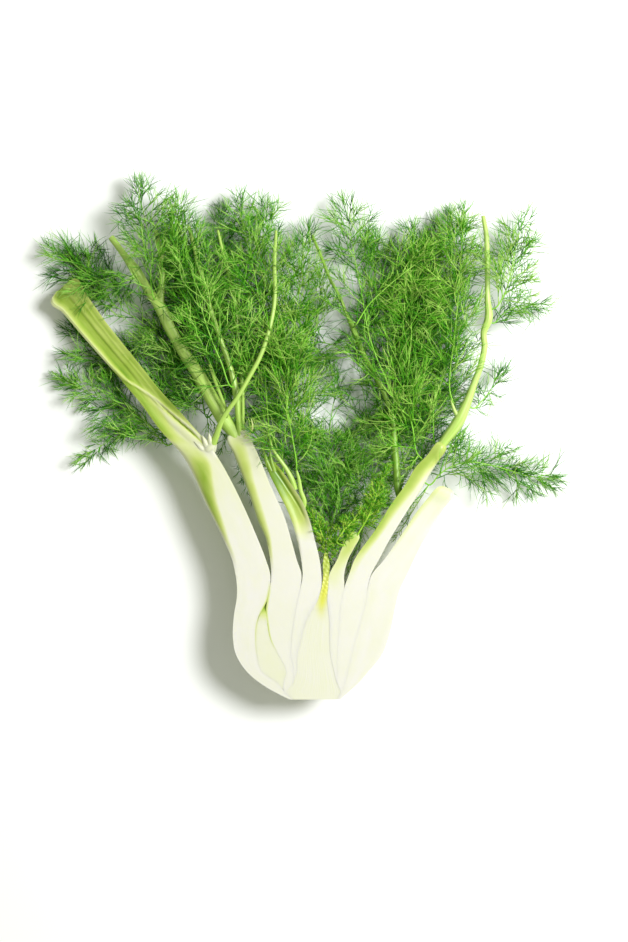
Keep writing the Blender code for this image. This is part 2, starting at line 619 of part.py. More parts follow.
def resample(path, spacing):
    """Points along a smooth line through the given ones, evenly spaced but closer at the end."""
    points = [Vector(p) for p in path]
    points = [points[0] * 2 - points[1], *points, points[-1] * 2 - points[-2]]
    dense = []
    for k in range(1, len(points) - 2):
        p0, p1, p2, p3 = points[k - 1:k + 3]
        for step in range(12):
            t = step / 12
            dense.append(0.5 * (2 * p1 + (p2 - p0) * t + (2 * p0 - 5 * p1 + 4 * p2 - p3) * t * t
                                + (3 * p1 - p0 - 3 * p2 + p3) * t ** 3))
    dense.append(points[-2])
    lengths = [0.0]
    for a, b in zip(dense, dense[1:]):
        lengths.append(lengths[-1] + (b - a).length)
    total = lengths[-1]
    count = max(2, round(total / spacing))
    wanted = [total * (1.12 * k / count - 0.12 * (k / count) ** 2) for k in range(count + 1)]
    columns = [np.interp(wanted, lengths, [p[axis] for p in dense]) for axis in range(3)]
    return [Vector(p) for p in zip(*columns)]


def tube(sides, path):
    rings = []
    for k, (x, y, z, radius) in enumerate(path):
        before = Vector(path[max(k - 1, 0)][:3])
        after = Vector(path[min(k + 1, len(path) - 1)][:3])
        along = (after - before).normalized()
        first, second = turned(along, Vector((0, 0, 1)))
        centre = Vector((x, y, z))
        rings.append([centre + (first * math.cos(t) + second * math.sin(t)) * radius
                      for t in (2 * math.pi * j / sides for j in range(sides))])
    return loft(rings)


def fuse(target, verts, faces):
    """Joins one more closed shape to a node by a union."""
    mesh = bpy.data.meshes.new("fork")
    mesh.from_pydata([tuple(Vector(v) * MM) for v in verts], [], faces)
    shape = bmesh.new()
    shape.from_mesh(mesh)
    bmesh.ops.recalc_face_normals(shape, faces=shape.faces)
    shape.to_mesh(mesh)
    shape.free()
    cutter = bpy.data.objects.new("fork", mesh)
    cutter.hide_render = True
    cutter.display_type = "WIRE"
    cutters.objects.link(cutter)
    union = target.modifiers.new("union", "BOOLEAN")
    union.operation = "UNION"
    union.solver = "EXACT"
    union.object = cutter
    bpy.context.view_layer.update()
    result = bpy.data.meshes.new_from_object(target.evaluated_get(bpy.context.evaluated_depsgraph_get()))
    target.modifiers.clear()
    target.data = result
    bpy.data.objects.remove(cutter, do_unlink=True)


def build_stems():
    for name, (kind, sides, paths) in STEMS.items():
        for path in paths:
            verts, faces = tube(sides, path)
            if name in parts.objects:
                fuse(parts.objects[name], verts, faces)
            else:
                add_node(name, kind, verts, faces, True)


def wall_tree():
    """One search tree over all stalks and stems, in millimetres."""
    whole = bmesh.new()
    for obj in parts.objects:
        whole.from_mesh(obj.data)
    bmesh.ops.scale(whole, vec=(1 / MM, 1 / MM, 1 / MM), verts=whole.verts)
    bmesh.ops.triangulate(whole, faces=whole.faces)
    tree = BVHTree.FromBMesh(whole)
    whole.free()
    return tree


def rooted(thicket, path, radius):
    """Starts a frond's stem just off the nearest stalk or stem, which carries it."""
    first = Vector(path[0])
    hit, normal, _, _ = thicket.walls.find_nearest(first)
    root = hit + normal * (radius + ROOT_GAP)
    return [root, *path] if (first - root).length > ROOT_RUN else [root, *path[1:]]


def plan_spine(thicket, name, path, spacing, radius):
    """Lifts or lowers a frond's own stem where it would touch what is there."""
    wanted = resample(rooted(thicket, path, radius), spacing)
    spine = []
    shift = 0.0
    lifts = sorted((0.75 * k for k in range(-12, 13)), key=abs)
    for k, point in enumerate(wanted):
        found = None
        if not spine and k > len(wanted) - 3:
            break
        thick = radius * (1.0 - 0.45 * k / len(wanted))
        if not spine:
            point = point + (wanted[k + 1] - point).normalized() * FOOT
        for lift in sorted(lifts, key=lambda v: abs(v - shift) + 0.3 * abs(v)):
            trial = point + Vector((0, 0, lift))
            start = spine[-1] if spine else trial - (wanted[k + 1] - point).normalized() * FOOT
            if thicket.free(start, trial, thick, name):
                found = trial
                shift = lift
                break
        if found is None:
            if spine:
                break
            continue
        spine.append(found)
    if len(spine) > 1:
        foot = spine[0] - (spine[1] - spine[0]).normalized() * FOOT
        for a, b in zip([foot, *spine], spine):
            thicket.add(a, b, radius * 0.9, name)
    return spine


def bowed(start, direction, length, sag, steps):
    """A short arching line that starts along a direction and sinks."""
    line = []
    for k in range(steps + 1):
        f = k / steps
        line.append(start + direction * length * f + Vector((0, 0, -sag * length * f * f)))
    return line


def plan_sprays(thicket, name, spine, reach_root, reach_middle, draw):
    """Side sprays in pairs up the spine, each bent until it hangs free."""
    sprays = []
    count = len(spine)
    for k in range(count - 1):
        along = (spine[min(k + 1, count - 1)] - spine[max(k - 1, 0)]).normalized()
        side = along.cross(Vector((0, 0, 1))).normalized()
        share = k / max(1, count - 1)
        reach = reach_root + (reach_middle - reach_root) * min(1.0, share * 2)
        reach *= 1.0 if share < 0.6 else 1.0 - 0.75 * (share - 0.6) / 0.4
        for hand in (-1, 1):
            placed = None
            for tilt in (0, 14, -12, 28, -24, 42, 56):
                lean = math.radians(draw.uniform(30, 44))
                out = side * hand * math.cos(lean) + along * math.sin(lean)
                rise = math.radians(tilt + draw.uniform(-6, 10))
                out = (out * math.cos(rise) + Vector((0, 0, math.sin(rise)))).normalized()
                for part in (1.0, 0.8, 0.6, 0.42):
                    length = max(4.0, reach * part * draw.uniform(0.9, 1.08))
                    steps = 2 if length > 17 else 1
                    line = bowed(spine[k], out, length, draw.uniform(0.05, 0.2), steps)
                    start = spine[k] + (line[1] - spine[k]).normalized() * 0.6
                    clear = thicket.free(start, line[1], 0.62, name, root=1.5)
                    if clear and all(thicket.free(a, b, 0.55, name) for a, b in zip(line[1:], line[2:])):
                        placed = line
                        break
                if placed:
                    break
            if placed:
                for a, b in zip(placed, placed[1:]):
                    thicket.add(a, b, 0.5, name)
                sprays.append((k, hand, placed))
    return sprays


def grow_needles(body, thicket, name, faces, node, along, axes, length, draw):
    """Thread leaves on all sides of one node, each one shortened or turned until it is free."""
    first, second = axes
    outward = (-second, first, second, -first)
    for face, out in zip(faces, outward):
        if face is None or body.faces[face] is None:
            continue
        for attempt in range(7):
            lean = math.radians(draw.uniform(34, 58))
            swing = math.radians(draw.uniform(-30, 30) * (1 + 0.3 * attempt))
            across = out.cross(along)
            way = out * math.cos(lean) + along * math.sin(lean) + across * math.sin(swing)
            way.normalize()
            size = length * draw.uniform(0.75, 1.15) * (1.0, 1.0, 0.8, 0.8, 0.62, 0.5, 0.4)[attempt]
            tip = node + way * size
            if abs(tip.z) < SETTLE:
                tip.z = 0.0
            if thicket.free(node + way * 0.5, tip, 0.27, name, root=1.0):
                loop = body.take(face)
                body.spike(loop, tip)
                thicket.add(node + way * 1.2, tip, 0.27, name)
                break


def grow_limb(body, thicket, name, base, centre, axes, line, spec, draw):
    """Runs a slim four-sided stem along a line, with a short knot of needles at each node."""
    thick, thin, knot, needle = spec
    first, _ = axes
    lower = base
    place = centre
    count = len(line) - 1
    knots = []
    for k in range(1, count + 1):
        along = (line[k] - place).normalized()
        first, second = turned(along, first)
        radius = thick + (thin - thick) * k / count
        rings = [body.ring(line[k] - along * knot, first, second, radius)]
        body.walls(lower, rings[0])
        rings.append(body.ring(line[k], first, second, radius))
        faces = body.walls(rings[0], rings[1])
        knots.append((faces, line[k] - along * knot / 2, along, (first, second), 1.0 - 0.25 * k / count))
        lower = rings[1]
        place = line[k]
    tip = place + along * needle * 0.9
    if not thicket.free(place + along * 0.8, tip, 0.25, name):
        tip = place + along * 0.7
    body.spike(lower, tip)
    thicket.add(place + along * 0.6, tip, 0.25, name)
    for faces, node, way, pair, share in knots:
        grow_needles(body, thicket, name, faces, node, way, pair, needle * share, draw)


def grow_frond(thicket, name, kind, spine, sprays, spec, draw):
    thick, knot, needle = spec
    body = Growth()
    along = (spine[1] - spine[0]).normalized()
    first, second = turned(along, along.cross(Vector((0, 0, 1))))
    lower = body.ring(spine[0] - along * FOOT, first, second, thick)
    body.faces.append(tuple(reversed(lower)))
    nodes = []
    for k, point in enumerate(spine):
        if k:
            along = (point - spine[k - 1]).normalized()
            first, second = turned(along, first)
        radius = thick * (1.0 - 0.45 * k / len(spine))
        below = body.ring(point - along * (knot / 2 if k else 0.5), first, second, radius)
        body.walls(lower, below)
        upper = body.ring(point + along * knot / 2, first, second, radius)
        nodes.append((body.walls(below, upper), point, along, (first, second)))
        lower = upper
    tip = spine[-1] + along * needle
    if not thicket.free(spine[-1] + along * 1.6, tip, 0.25, name):
        tip = spine[-1] + along * 1.2
    body.spike(lower, tip)
    thicket.add(spine[-1] + along, tip, 0.25, name)
    for k, hand, line in sprays:
        faces, point, along, (first, second) = nodes[k]
        face = faces[1] if hand > 0 else faces[3]
        loop = body.take(face)
        start = body.centre(loop)
        way = (line[1] - start).normalized()
        # The side face's corners run along the stem first, then across it.
        corners = [body.verts[c] - start for c in loop]
        lead = (corners[1] - corners[0] + corners[2] - corners[3]).normalized()
        loop, lead = matched(body, loop, start, way, lead)
        branch = [start] + line[1:]
        grow_limb(body, thicket, name, loop, start, (lead, None), branch,
                  (0.58, 0.4, 0.85, needle), draw)
    for faces, point, along, axes in nodes:
        grow_needles(body, thicket, name, faces, point, along, axes, needle, draw)
    verts, shell = body.solid()
    add_node(name, kind, verts, shell, False)


def matched(body, loop, start, way, lead):
    """Turns a loop so that its corners follow the order of the next ring."""
    first, second = turned(way, lead)
    signs = ((-1, -1), (1, -1), (1, 1), (-1, 1))
    best = None
    for turn in range(4):
        order = [loop[(turn + k) % 4] for k in range(4)]
        score = sum((body.verts[c] - start).dot(first * a + second * b)
                    for c, (a, b) in zip(order, signs))
        if best is None or score > best[0]:
            best = (score, order)
    return best[1], first


def build_fronds():
    thicket = Thicket(wall_tree())
    draw = random.Random(SEED)
    plans = {}
    for name, (kind, root, middle, path) in {**FRONDS, **YOUNG_LEAVES}.items():
        young = name in YOUNG_LEAVES
        spacing = 6.0 if young else 24.0 if kind == "dark" else 22.6
        spine = plan_spine(thicket, name, path, spacing, 0.75)
        plans[name] = (kind, root, middle, spine, young)
    for name, (kind, root, middle, spine, young) in plans.items():
        if len(spine) < 2:
            continue
        sprays = plan_sprays(thicket, name, spine, root, middle, draw)
        plans[name] = (*plans[name], sprays)
    for name, plan in plans.items():
        if len(plan) < 6:
            continue
        kind, _, _, spine, young, sprays = plan
        spec = (0.75, 0.9, 4.5) if young else (0.85, 1.0, 17.0)
        grow_frond(thicket, name, kind, spine, sprays, spec, draw)


clear_scene()
parts = make_collection("halved_fennel_bulb")
cutters = make_collection("shapes_to_fuse")
build_bulb()
build_stems()
build_fronds()
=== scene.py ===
"""Looks of the halved fennel bulb: fine stalks, stems and thread leaves round the solid frame.

Lengths in the tables are in millimetres, as in the part's source. X is to the
right, Y runs from the root end to the fronds, Z is up and the table is at zero.
"""
import math
import random

import bmesh
import bpy
import numpy as np
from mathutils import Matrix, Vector
from mathutils.bvhtree import BVHTree


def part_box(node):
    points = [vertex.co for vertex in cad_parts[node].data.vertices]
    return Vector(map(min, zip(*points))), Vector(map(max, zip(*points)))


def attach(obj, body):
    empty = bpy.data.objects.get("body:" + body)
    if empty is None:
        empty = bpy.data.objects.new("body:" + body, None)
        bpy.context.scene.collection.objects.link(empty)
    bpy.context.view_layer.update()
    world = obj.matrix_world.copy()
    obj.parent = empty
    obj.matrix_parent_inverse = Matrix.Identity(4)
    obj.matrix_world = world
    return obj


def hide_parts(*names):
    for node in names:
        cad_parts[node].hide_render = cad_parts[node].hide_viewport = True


MM = 0.001
UP = Vector((0, 0, 1))
CUT_Z = 30.0
SEED = 11

# Gaps between the leaf bases at the cut face and round the back, and their thin
# margins. Angles are in degrees round from the cut face.
KEEL_GAP = 0.12
WRAP_GAP = 0.25
MARGIN = 0.9
ROOT_SHEET = 0.15
KEEL_SPREAD = 0.32
KEEL_FADE = 15.0
FACE_EDGE = 20.0
# A leaf base gets thinner towards its margin: over this share of its reach, over
# this many degrees at most, and how steeply.
TAPER_SHARE = 0.62
TAPER_LIMIT = 45.0
TAPER_POWER = 1.3
# Over these angles past its margin a leaf base gives its room back to the next.
BEYOND = (18.0, 54.0)
# The core ends at a lower level and reaches in under the leaf bases, which stand
# a little higher one after the other.
CORE_LEVELS = 8
CORE_SPREAD = 1.4
CORE_FADE = 5.0
CORE_DROP = 0.03
LAYER_STEP = 0.012
# How far the last levels of a leaf base have turned into its stalk, and how much
# deeper they are than its foot.
STALK_BLEND = {8: 0.15, 9: 0.5}
JOIN_DEPTH = 2.0
# The last sections that close a stalk or the bud: their size and how far on they are.
STALK_CLOSE = ((0.9, 0.9), (0.55, 1.3))
BUD_CLOSE = ((0.5, (0.9, 3, 0)), (0.15, (1.4, 5.6, 0)))
CORE_TIP = (0.4, 1.2, 0)

# Points round a section: along each wall and across the cut face, whose last
# points stand this share from its rim.
SPOKES = 22
ACROSS = 26
INNER_EDGE = 2 * SPOKES - 2
RIM = 0.004
SPOKE_POWER = 1.25
# How far round a stalk its outer and inner wall turn, and how full it is below.
OUTER_TURN = 112.0
INNER_TURN = 60.0
FULLNESS = 0.85
# Millimetres between sections, sides of round pieces and the least angle of a crease.
ROW_STEP = 1.4
HEART_STEP = 0.7
STEM_SIDES = 14
HEART_SIDES = 24
CREASE = math.radians(40)

# Places of the materials on a leaf base, and of the only one on another piece.
FLESH, SKIN, STEM = 0, 1, 2
ONLY = 0

# Levels through the bulb, from the root end up to where the stalks part.
LEVEL_Y = [-40, -35.5, -30.9, -24.1, -14.3, -5.7, 3, 10.3, 17.2, 24]
AXIS_X = [0.6, 0.6, 0.6, 0.9, 1.1, 1.4, 2, 2.9, 4, 5.2]
BACK_DEPTH = [15, 19.5, 23.5, 27, 29.5, 31, 31, 31, 28, 23]
LEFT_EDGE = [-13.8, -22.9, -30.4, -38.4, -44.7, -46.4, -46.4, -45.6, -44.4, -44.1]
RIGHT_EDGE = [14.9, 20.1, 25.2, 31.2, 39, 42.4, 44.7, 46.1, 47.6, 49.6]
SPOKE_SPREAD = [1, 1, 1, 0.98, 0.94, 0.86, 0.76, 0.64, 0.5, 0.34]
SLACK = [1, 1.4, 1.6, 1.4, 1, 1, 1, 1, 1, 1]
FUSED = [0.1, 1, 1, 1, 1, 1, 1, 1, 1, 1]

# Every leaf base: the side it stands on, its first level, how far round the
# back it reaches in degrees, and where it starts and ends on the cut face.
WRAPS = [
    ("sheath_left_outer", -1, 0, 148, LEFT_EDGE,
     [-12.6, -17.2, -20.6, -29.8, -32.7, -33.5, -32.9, -30.4, -27, -25.6]),
    ("axillary_bud", -1, 2, 33, [-20.2, -29.4, -32.3, -33.1, -32.5, -30],
     [-17.5, -15.8, -20.4, -24.9, -26.7, -27.5]),
    ("sheath_right_outer", 1, 0, 148, RIGHT_EDGE,
     [13.7, 16.5, 17.8, 19.5, 21.8, 23.8, 26.4, 28.4, 30.1, 31]),
    ("sheath_left_middle", -1, 1, 125, [-16.8, -17.2, -15.5, -20.1, -24.6, -26.4, -27.2, -26.5, -25.2],
     [-16.1, -12.6, -11.7, -13.2, -12.9, -11.7, -10.6, -9.4, -8]),
    ("sheath_right_middle", 1, 1, 125, [16.1, 17.4, 19.1, 21.4, 23.4, 26, 28, 29.7, 30.6],
     [15.5, 13.8, 13.5, 13.5, 14, 14.3, 14.9, 16.1, 17.5]),
    ("sheath_left_inner", -1, 3, 104, [-11.3, -12.8, -12.5, -11.3, -10.2, -9, -7.6],
     [-10.1, -9.7, -7.4, -5.2, -1.7, 2, 4]),
    ("sheath_right_inner", 1, 3, 104, [13.1, 13.1, 13.6, 13.9, 14.4, 15.7, 17.1],
     [11.9, 9.7, 9.2, 9.2, 8.6, 7.9, 8.3]),
]

# Each stalk above the bulb: its outer and inner edge and the depth under them,
# then the height of its top and the depth of a groove along it where they differ.
STALKS = {
    "sheath_left_outer": [
        ((-45, 31.5), (-25.1, 31.5), 16), ((-47, 40.1), (-27.6, 40.1), 14.5),
        ((-51.6, 51), (-31.8, 51), 14), ((-64.5, 77.4), (-47.8, 85.9), 14),
        ((-69.3, 88.2), (-53.6, 96.3), 14), ((-75.6, 99.7), (-60.2, 106), 14, 30, 0.3),
        ((-82, 107.4), (-66.5, 113.2), 13.5, 28.6, 1.2), ((-88.2, 114), (-75.4, 123.3), 12, 26.8, 2.2),
        ((-99.7, 129.5), (-88.6, 137.5), 10.5, 23.8, 1.6), ((-111.2, 143.2), (-99.1, 150.6), 9.5, 21, 1),
        ((-135.1, 170.2), (-121.5, 178.6), 8.5, 15.8, 1),
        ((-146.4, 183.4), (-132.6, 194.1), 8, 13.6, 1.2), ((-153.1, 190.8), (-139, 203), 7, 12.6, 1.6)],
    "sheath_left_middle": [
        ((-24.5, 31.5), (-7.2, 31.5), 14.5), ((-25.2, 40.1), (-9.9, 40.1), 13.5),
        ((-27.3, 51), (-12.9, 51), 13), ((-32.1, 62.5), (-17.2, 65.3), 12.5),
        ((-37.2, 77.4), (-24.1, 80.8), 12), ((-46.4, 101.4), (-34.4, 105.4), 11, 30, 0.3),
        ((-50.1, 110.6), (-39, 114), 10.5, 30, 1)],
    "sheath_left_inner": [
        ((-6.5, 31.5), (4.2, 31.5), 11), ((-7.3, 40.1), (3.2, 40.1), 9.5), ((-9.2, 48.7), (0.6, 51), 9),
        ((-11.7, 59), (-2.6, 63), 8, 30, 1.2), ((-15.5, 68.8), (-6.3, 72.8), 7, 30, 1.8),
        ((-21.2, 80.2), (-13.2, 83.7), 5.5, 29.5, 1.6), ((-27, 93.4), (-22.3, 95.5), 3, 29, 0.6)],
    "sheath_right_outer": [
        ((53.3, 31.5), (33.1, 31.5), 15.5), ((57.3, 40.1), (40.1, 40.1), 14),
        ((63, 51), (52.7, 58.2), 12.5), ((68.2, 59), (57.9, 66.2), 12), ((73.9, 68.8), (65, 75.1), 10.5),
        ((80.2, 78.5), (71.6, 82.2), 9)],
    "sheath_right_middle": [
        ((32.6, 31.5), (20, 31.5), 14), ((37.2, 40.1), (23.2, 40.1), 13), ((43, 51), (34.4, 56.2), 12),
        ((53.9, 68.8), (45.6, 73.9), 11), ((59.6, 77.4), (51.7, 82.1), 10.5),
        ((66.4, 88.8), (58.8, 93.8), 9.4, 29.6, -0.8), ((70.9, 95.9), (64.8, 99.9), 7.8, 29.5, -0.7),
        ((76.2, 104), (70.7, 107.5), 6.4, 29.3, -0.9)],
    "sheath_right_inner": [
        ((17.3, 31.5), (8.8, 31.5), 9), ((19.5, 40.1), (13.2, 40.1), 7.5),
        ((23.4, 47.6), (17.6, 49.9), 6), ((26.2, 52.7), (22.2, 55.4), 4, 29.5)],
}

# How far the round green skin comes in over the top from a stalk's outer edge,
# as a share of its width: (y, share).
SHOULDERS = {
    "sheath_left_outer": [
        (30, 0), (47, 0.13), (60, 0.21), (72, 0.34), (82, 0.48), (93, 0.55), (101, 0.42), (112, 0.2),
        (210, 0.12)],
    "sheath_left_middle": [
        (28, 0), (47, 0.15), (61, 0.26), (75, 0.31), (89, 0.38), (103, 0.44), (114, 0.46)],
    "sheath_left_inner": [(38, 0), (52, 0.2), (70, 0.3), (96, 0.4)],
    "sheath_right_middle": [(60, 0), (80, 0.2), (94, 0.45), (110, 0.6)],
    "sheath_right_outer": [(52, 0), (70, 0.12), (92, 0.2)],
}
# The drop of a shoulder at its edge, as a share of how wide it is.
SHOULDER_DROP = 0.55
# Bands along the top of a stalk, each as rows of y, middle and half width across
# it (0 is the outer edge and 1 the inner), and strength.
GREENS = {
    "sheath_left_outer": [
        [(38, 0.05, 0.06, 0), (52, 0.07, 0.11, 0.3), (62, 0.1, 0.15, 0.46), (70, 0.14, 0.19, 0.6),
         (78, 0.18, 0.24, 0.7), (87, 0.27, 0.3, 0.72), (95, 0.38, 0.38, 0.62), (101, 0.4, 0.4, 0.4),
         (106, 0.3, 0.34, 0.35), (111, 0.16, 0.34, 0.6), (118, 0.15, 0.36, 0.7), (128, 0.2, 0.44, 0.72),
         (136, 0.2, 0.5, 0.74), (142, 0.3, 0.6, 0.78), (152, 0.35, 0.5, 0.8), (204, 0.35, 0.45, 0.78)],
        [(100, 0.95, 0.1, 0), (112, 0.82, 0.05, 0.8), (118, 0.74, 0.05, 0.9), (126, 0.66, 0.05, 0.9),
         (132, 0.6, 0.05, 0.3), (136, 0.6, 0.05, 0)],
        [(100, 0.8, 0.5, 0), (108, 0.8, 0.5, 0.3), (118, 0.85, 0.45, 0.42), (128, 0.85, 0.55, 0.72),
         (140, 0.8, 0.6, 0.7), (152, 0.8, 0.7, 0.6), (204, 0.8, 0.8, 0.58)],
        [(-22, 1, 0.05, 0), (-4, 1, 0.06, 0.4), (20, 1, 0.07, 0.5), (28, 1, 0.07, 0)]],
    "sheath_left_middle": [
        [(34, 0.03, 0.05, 0), (46, 0.06, 0.1, 0.3), (60, 0.13, 0.18, 0.44), (74, 0.17, 0.22, 0.5),
         (85, 0.2, 0.26, 0.54), (95, 0.27, 0.34, 0.54), (105, 0.36, 0.4, 0.44), (111, 0.4, 0.4, 0.22),
         (114, 0.4, 0.34, 0.1)],
        [(-14, 0, 0.05, 0), (-4, 0, 0.06, 0.5), (18, 0, 0.06, 0.5), (28, 0, 0.06, 0)]],
    "sheath_left_inner": [
        [(50, 0.3, 0.5, 0), (62, 0.4, 0.8, 0.42), (70, 0.36, 0.9, 0.66), (78, 0.35, 1, 0.86),
         (98, 0.4, 1.2, 1)],
        [(60, 0.84, 0.08, 0), (67, 0.76, 0.08, 0.7), (74, 0.7, 0.09, 0.95), (84, 0.66, 0.1, 0.95),
         (98, 0.6, 0.2, 0.95)]],
    "sheath_right_inner": [
        [(22, 0.8, 0.6, 0), (34, 0.7, 0.8, 0.25), (44, 0.6, 0.9, 0.5), (60, 0.5, 0.9, 0.68)]],
    "sheath_right_middle": [
        [(24, 1, 0.3, 0), (38, 1, 0.34, 0.26), (52, 1, 0.46, 0.56), (68, 0.98, 0.58, 0.68),
         (82, 0.92, 0.7, 0.7), (92, 0.8, 0.8, 0.62), (100, 0.5, 1.2, 0.62), (125, 0.5, 1.2, 0.66)]],
    "sheath_right_outer": [
        [(40, 1, 0.12, 0), (58, 1, 0.2, 0.25), (90, 0.9, 0.3, 0.3)],
        [(66, 0.5, 0.6, 0), (78, 0.5, 0.7, 0.16), (92, 0.5, 0.7, 0.2)]],
}
# Pale ribs and folds, drawn over the green.
PALES = {
    "sheath_left_outer": [
        [(98, 0.95, 0.1, 0.6), (113, 0.93, 0.08, 0.7), (124, 0.73, 0.09, 0.6), (133, 0.6, 0.1, 0.6),
         (138, 0.42, 0.1, 0.6), (144, 0.16, 0.12, 0.5), (152, 0.08, 0.12, 0.45), (204, 0.07, 0.12, 0.45)],
        [(104, 0.72, 0.14, 0.6), (110, 0.68, 0.16, 0.55), (118, 0.58, 0.12, 0.45), (126, 0.52, 0.07, 0.4),
         (130, 0.5, 0.03, 0)],
        [(46, 0, 0.06, 0.7), (95, 0, 0.07, 0.7), (104, 0, 0.06, 0.5)]],
    "sheath_left_middle": [
        [(50, 0, 0.06, 0.6), (112, 0, 0.08, 0.7)]],
    "sheath_left_inner": [
        [(58, 0.97, 0.2, 0.2), (70, 0.97, 0.22, 0.3), (90, 0.97, 0.22, 0.3)]],
}
# Ridges and, below zero, grooves, in millimetres.
RIDGES = {
    "sheath_left_outer": [
        [(98, 0.93, 0.1, 0), (113, 0.92, 0.1, 0.4), (124, 0.72, 0.13, 0.6), (133, 0.6, 0.14, 0.8),
         (138, 0.42, 0.14, 0.9), (144, 0.16, 0.14, 1), (152, 0.08, 0.12, 1.1), (204, 0.07, 0.12, 1.1)],
        [(104, 0.72, 0.2, 0), (110, 0.68, 0.2, 0.6), (118, 0.56, 0.16, 0.8), (130, 0.5, 0.08, 0)],
        [(108, 0.84, 0.05, 0), (114, 0.81, 0.06, -1.2), (126, 0.65, 0.06, -1.2), (134, 0.55, 0.05, 0)],
        [(136, 0.55, 0.2, 0), (146, 0.36, 0.22, -0.8), (160, 0.32, 0.24, -1.2), (204, 0.32, 0.24, -1.2)]],
    "sheath_left_middle": [
        [(96, 0.5, 0.5, 0), (113, 0.5, 0.5, -1.2)]],
    "sheath_left_inner": [
        [(58, 0.9, 0.14, 0), (70, 0.9, 0.22, 0.5), (92, 0.9, 0.22, 0.5)],
        [(60, 0.84, 0.1, 0), (67, 0.74, 0.1, -0.3), (74, 0.68, 0.1, -0.4), (84, 0.64, 0.1, -0.4),
         (98, 0.6, 0.2, -0.2)]],
}
# Fine ribs along an open stalk: how many, their height and where they set in.
RIBS = {"sheath_left_outer": (5.3, 0.11, 118, 150)}
RIB_TONE = 0.04

# Tones apart from the bands, and how green sets in along a piece: from where, where it is full and how
# strong it is. A pocket is the inner wall of a stalk; it turns green sooner and more than the outer skin,
# as painted shade and painted light through the flesh in the slits between the leaf bases.
CORE_TONE = 0.04
SKIN_TONE = 0.06
POCKET_TONE = 0.1
TOP_GREEN = (40, 110, 0.14)
SKIN_GREEN = (10, 150, 0.5)
POCKET_SHADE_GREEN = (15, 60, 0.7)
BUD_EDGE = (-18, 4, 0.3)
BUD_TIP = (4, 14, 0.75)

